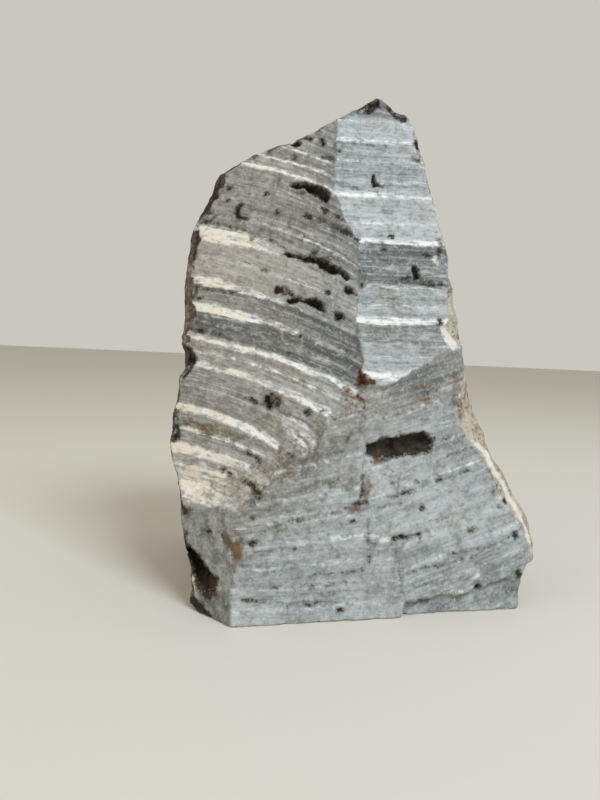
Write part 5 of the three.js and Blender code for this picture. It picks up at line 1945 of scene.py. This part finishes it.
@dataclass(frozen=True)
class SawnSoapstone:
    """Soapstone, cut with a chainsaw and left rough.

    Talc-rich stone gives a soft, matt, blue-grey to warm grey face. The teeth leave fine
    streaks along each stroke, the ledges hold pale talc dust, brightened as painted highlight
    on their upward faces, and iron in the joints stains the skin and the hollows brown.
    """

    layers: tuple[Tint | Coat, ...] = (
        Tint(WARM_STONE, Pattern.CLOUD, -1.0, 0.0, 1.0, (Mark.WARM,)),
        Tint(DARK_STREAK_AND_SHADE, Pattern.MOTTLE, 0.45, 0.75, 0.36),
        Tint(LIGHT_STREAK, Pattern.BAND, 0.5, 0.72, 0.5, (Mark.SAWN,)),
        Tint(DARK_STREAK_AND_SHADE, Pattern.BAND, 0.46, 0.3, 0.22, (Mark.SAWN,)),
        Tint(TAN, Pattern.CLOUD, 0.5, 0.72, 0.35, (Mark.SAWN,)),
        Tint(TAN, Pattern.CLOUD, 0.5, 0.35, 0.4, (Mark.SAWN, Mark.WARM)),
        Tint(DARK_STREAK_AND_SHADE, Pattern.TEETH, 0.5, 0.7, 0.28, (Mark.SAWN,)),
        # Darker where the shade mark is: dark bands, and painted shade on the corner cut and
        # beside the fold.
        Tint(DARK_STREAK_AND_SHADE, Pattern.TEETH, 0.45, 0.64, 0.45, (Mark.SAWN, Mark.SHADE)),
        Tint(LIGHT_STREAK, Pattern.TEETH, 0.45, 0.28, 0.4, (Mark.SAWN,)),
        Tint(DARK_STREAK_AND_SHADE, Pattern.BAND, 0.7, 0.35, 0.75, (Mark.SAWN, Mark.SHADE)),
        Tint(DARK_STREAK_AND_SHADE, Pattern.MOTTLE, 0.1, 0.9, 0.55, (Mark.SHADE,)),
        Tint(DARK_STREAK_AND_SHADE, Pattern.GRIT, 0.52, 0.75, 0.28),
        Tint(LIGHT_STREAK, Pattern.GRIT, 0.47, 0.28, 0.28),
        Tint(DARK_STREAK_AND_SHADE, Pattern.SPECK, 0.53, 0.74, 0.4),
        Tint(LIGHT_STREAK, Pattern.SPECK, 0.45, 0.28, 0.35),
        Tint(TORN, Pattern.TEAR, 0.63, 0.78, 0.25, (Mark.SAWN,)),
        Tint(TORN, Pattern.TEAR, 0.6, 0.74, 0.38, (Mark.SAWN, Mark.WARM)),
        # Pale dust on the ledges, with painted highlight on their upward faces.
        Coat(
            PALE_DUST_AND_HIGHLIGHT, (Mark.LEDGE,),
            ((Pattern.TEETH, -1.6), (Pattern.BAND, -2.0), (Pattern.SPECK, -1.4)),
            0.1, 1.2, 0.92,
        ),
        # Its cream cast, partly painted warm light.
        Coat(
            CREAM_WHITE, (Mark.LEDGE, Mark.CREAM),
            ((Pattern.TEETH, -1.2), (Pattern.BAND, -1.6), (Pattern.MOTTLE, -2.4)),
            0.1, 1.2, 0.92,
        ),
        Tint(PALE_SKIN, Pattern.SPECK, 0.52, 0.7, 0.45, (Mark.LEDGE,)),
        Coat(
            BROWN_SKIN, (Mark.SKIN,),
            ((Pattern.GRIT, 1.0), (Pattern.SPECK, 0.8)),
            0.35, 0.65, 0.95,
        ),
        Coat(
            PALE_SKIN, (Mark.SKIN, Mark.PALE),
            ((Pattern.SPECK, 1.2), (Pattern.MOTTLE, 1.2), (Pattern.GRIT, 0.8)),
            0.2, 0.6, 0.9,
        ),
        Tint(TORN, Pattern.MOTTLE, 0.5, 0.72, 0.5, (Mark.SKIN,)),
        Tint(TORN, Pattern.SPECK, 0.53, 0.68, 0.55, (Mark.SKIN,)),
        Tint(BROWN_SKIN, Pattern.CLOUD, 0.5, 0.7, 0.45, (Mark.SKIN,)),
        Tint(CREAM_WHITE, Pattern.CLOUD, 0.48, 0.3, 0.28, (Mark.SKIN, Mark.PALE)),
        Tint(CREAM_WHITE, Pattern.GRIT, 0.46, 0.34, 0.6, (Mark.SKIN, Mark.PALE)),
        Coat(
            OCHRE, (Mark.OCHRE,),
            ((Pattern.GRIT, 0.4), (Pattern.SPECK, 0.9), (Pattern.MOTTLE, 0.6)),
            0.1, 1.1, 0.85,
        ),
        Coat(DARK_STREAK_AND_SHADE, (Mark.PIT,), ((Pattern.SPECK, 0.8),), 0.1, 0.5, 0.55),
        Coat(HOLLOW, (Mark.PIT,), ((Pattern.GRIT, 1.1), (Pattern.SPECK, 1.0)), 0.42, 0.72, 0.96),
        Tint(HOLLOW_EARTH, Pattern.SPECK, 0.52, 0.7, 0.55, (Mark.PIT,)),
        Tint(DEEP_HOLLOW, Pattern.MOTTLE, 0.52, 0.35, 0.75, (Mark.PIT,)),
        Coat(RED_RUST, (Mark.RUST,), ((Pattern.GRIT, 0.8), (Pattern.SPECK, 1.0)), 0.2, 0.75, 0.8),
        Coat(RUST, (Mark.RUST,), ((Pattern.GRIT, 0.8), (Pattern.SPECK, 0.8)), 0.55, 0.85, 0.95),
        Coat(CHALK, (Mark.CHALK,), ((Pattern.GRIT, 0.9), (Pattern.SPECK, 0.8)), 0.3, 0.85, 0.85),
    )
    roughness: float = 0.78
    refraction: float = 1.57  # of talc
    gloss: float = 0.25  # little, because the torn grains hide the reflection
    relief: tuple[tuple[Pattern, Mark | None], ...] = (
        (Pattern.TEETH, Mark.SAWN),
        (Pattern.GRIT, None),
        (Pattern.SPECK, Mark.SKIN),
        (Pattern.SPECK, Mark.PIT),
    )
    relief_height: float = 0.5  # millimetres
    relief_strength: float = 0.7
    grain_detail: float = 2.0  # octaves of every pattern
    grain_roughness: float = 0.55

    def material(self) -> bpy.types.Material:
        """Makes the material.

        Returns:
            The material, which reads the stone's marks, its grain and Object coordinates.
        """
        made = bpy.data.materials.new("rough_sawn_soapstone")
        made.use_nodes = True
        tree = made.node_tree
        tree.nodes.clear()
        sockets = self._sockets(tree)
        inputs = {0: 0.0, 6: linear(STONE)}
        colour = add_node(tree, "ShaderNodeMix", {"data_type": "RGBA"}, inputs).outputs[2]
        for layer in self.layers:
            colour = layer.over(tree, colour, sockets)
        inputs = {
            "Base Color": colour,
            "Roughness": self.roughness,
            "IOR": self.refraction,
            "Specular IOR Level": self.gloss,
            "Normal": self._bump(tree, sockets),
        }
        shader = add_node(tree, "ShaderNodeBsdfPrincipled", inputs=inputs).outputs["BSDF"]
        add_node(tree, "ShaderNodeOutputMaterial", inputs={"Surface": shader})
        return made

    def _sockets(self, tree: Tree) -> Sockets:
        """Adds the marks and the patterns.

        A pattern along the strokes reads the stone's grain attribute, and one that lies in
        the stone reads Object coordinates, each divided by the pattern's sizes.

        Args:
            tree: The material's node tree.

        Returns:
            The output of each mark and pattern.
        """
        sockets: Sockets = {}
        for mark in Mark:
            named = {"attribute_name": mark.value}
            sockets[mark] = add_node(tree, "ShaderNodeAttribute", named).outputs["Fac"]
        place = add_node(tree, "ShaderNodeTexCoord").outputs["Object"]
        named = {"attribute_name": GRAIN}
        grain = add_node(tree, "ShaderNodeAttribute", named).outputs["Vector"]
        for pattern in Pattern:
            first, last = pattern.value[0], pattern.value[-1]
            scale = tuple(1.0 / (size * MM) for size in (first, last, last))
            inputs = {0: place if len(pattern.value) == 1 else grain, 1: scale}
            inputs = {
                "Vector": add_node(tree, "ShaderNodeVectorMath", TIMES, inputs).outputs["Vector"],
                "Scale": 1.0,
                "Detail": self.grain_detail,
                "Roughness": self.grain_roughness,
            }
            sockets[pattern] = add_node(tree, "ShaderNodeTexNoise", inputs=inputs).outputs[0]
        return sockets

    def _bump(self, tree: Tree, sockets: Sockets) -> Socket:
        """Adds up the patterns that raise the surface.

        Args:
            tree: The material's node tree.
            sockets: Output of each mark and pattern.

        Returns:
            The normal's socket.
        """
        height: Socket | float = 0.0
        for pattern, mark in self.relief:
            inputs = {0: sockets[pattern], 1: sockets[mark] if mark else 1.0, 2: height}
            height = add_node(tree, "ShaderNodeMath", TIMES_AND_PLUS, inputs).outputs[0]
        inputs = {
            "Strength": self.relief_strength,
            "Distance": self.relief_height * MM,
            "Height": height,
        }
        return add_node(tree, "ShaderNodeBump", inputs=inputs).outputs["Normal"]


@dataclass(frozen=True)
class PalePaint:
    """Matt paint on the studio floor, which gives a plain pale ground."""

    colour: str = "cfccc3"
    roughness: float = 0.9

    def material(self) -> bpy.types.Material:
        """Makes the material.

        Returns:
            The material, which stays plain.
        """
        made = bpy.data.materials.new("matt_floor_paint")
        made.use_nodes = True
        shader = made.node_tree.nodes["Principled BSDF"]
        shader.inputs["Base Color"].default_value = linear(self.colour)
        shader.inputs["Roughness"].default_value = self.roughness
        return made


# ---- The studio ---------------------------------------------------------------------------


@dataclass(frozen=True)
class SoftLight:
    """A square studio light that looks at the block."""

    name: str
    at: Place  # metres
    side: float  # metres
    power: float  # watts
    colour: str


@dataclass(frozen=True)
class Studio:
    """A plain pale floor, soft light and the camera, which stand apart from the object."""

    floor_half: float = 6.0  # metres
    air: str = "d9d7cc"
    air_strength: float = 0.85
    look_at: Place = (0.0, 0.0, 0.16)
    lights: tuple[SoftLight, ...] = (
        SoftLight("key", (0.9, -1.1, 1.7), 0.9, 34.0, "eef3ff"),
        SoftLight("fill", (-1.6, -1.0, 0.9), 1.2, 6.0, "fff0dc"),
    )
    camera_at: Place = (-0.0365, -0.419, 0.165)
    camera_down: float = 5.46  # degrees
    camera_roll: float = 2.5  # degrees
    lens: float = 27.0

    def build(self) -> None:
        """Makes the floor, the air, the lights and the camera."""
        corners = self.floor_half * np.array([(-1, -1, 0), (1, -1, 0), (1, 1, 0), (-1, 1, 0)])
        floor = new_mesh_object("studio_floor", corners, [[0, 1, 2, 3]])
        floor.data.materials.append(PalePaint().material())
        world = bpy.data.worlds.new("studio_air")
        world.use_nodes = True
        background = world.node_tree.nodes["Background"]
        background.inputs["Color"].default_value = linear(self.air)
        background.inputs["Strength"].default_value = self.air_strength
        bpy.context.scene.world = world
        for light in self.lights:
            self._hang(light)
        self._set_up_camera()
        bpy.context.scene.view_settings.view_transform = "Standard"

    def _hang(self, light: SoftLight) -> None:
        """Hangs a square light at its place and turns it to the block.

        Args:
            light: The light.
        """
        data = bpy.data.lights.new(light.name, "AREA")
        data.size = light.side
        data.energy = light.power
        data.color = linear(light.colour)[:3]
        lamp = bpy.data.objects.new(light.name, data)
        lamp.location = light.at
        way = Vector(self.look_at) - Vector(light.at)
        lamp.rotation_euler = way.to_track_quat("-Z", "Y").to_euler()
        bpy.context.scene.collection.objects.link(lamp)

    def _set_up_camera(self) -> None:
        """Stands the camera in front of the block, tilted down and rolled a little."""
        data = bpy.data.cameras.new("camera")
        data.lens = self.lens
        camera = bpy.data.objects.new("camera", data)
        tilt = Euler((math.radians(90.0 - self.camera_down), 0.0, 0.0)).to_matrix()
        roll = Matrix.Rotation(math.radians(self.camera_roll), 3, "Z")
        camera.matrix_world = Matrix.Translation(self.camera_at) @ (tilt @ roll).to_4x4()
        bpy.context.scene.collection.objects.link(camera)
        bpy.context.scene.camera = camera


def main() -> None:
    """Builds the stone and the studio."""
    logging.basicConfig(level=logging.INFO, format="%(name)s: %(message)s", force=True)
    stone = SoapstoneBlock().build()
    stone.data.materials.append(SawnSoapstone().material())
    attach(stone, "root")
    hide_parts("soapstone_block")
    mesh = stone.data
    log.info("%s: %d points, %d faces", stone.name, len(mesh.vertices), len(mesh.polygons))
    studio = Studio()
    studio.build()
    log.info("studio: floor, %d lights and camera", len(studio.lights))


if __name__ == "__main__":
    main()
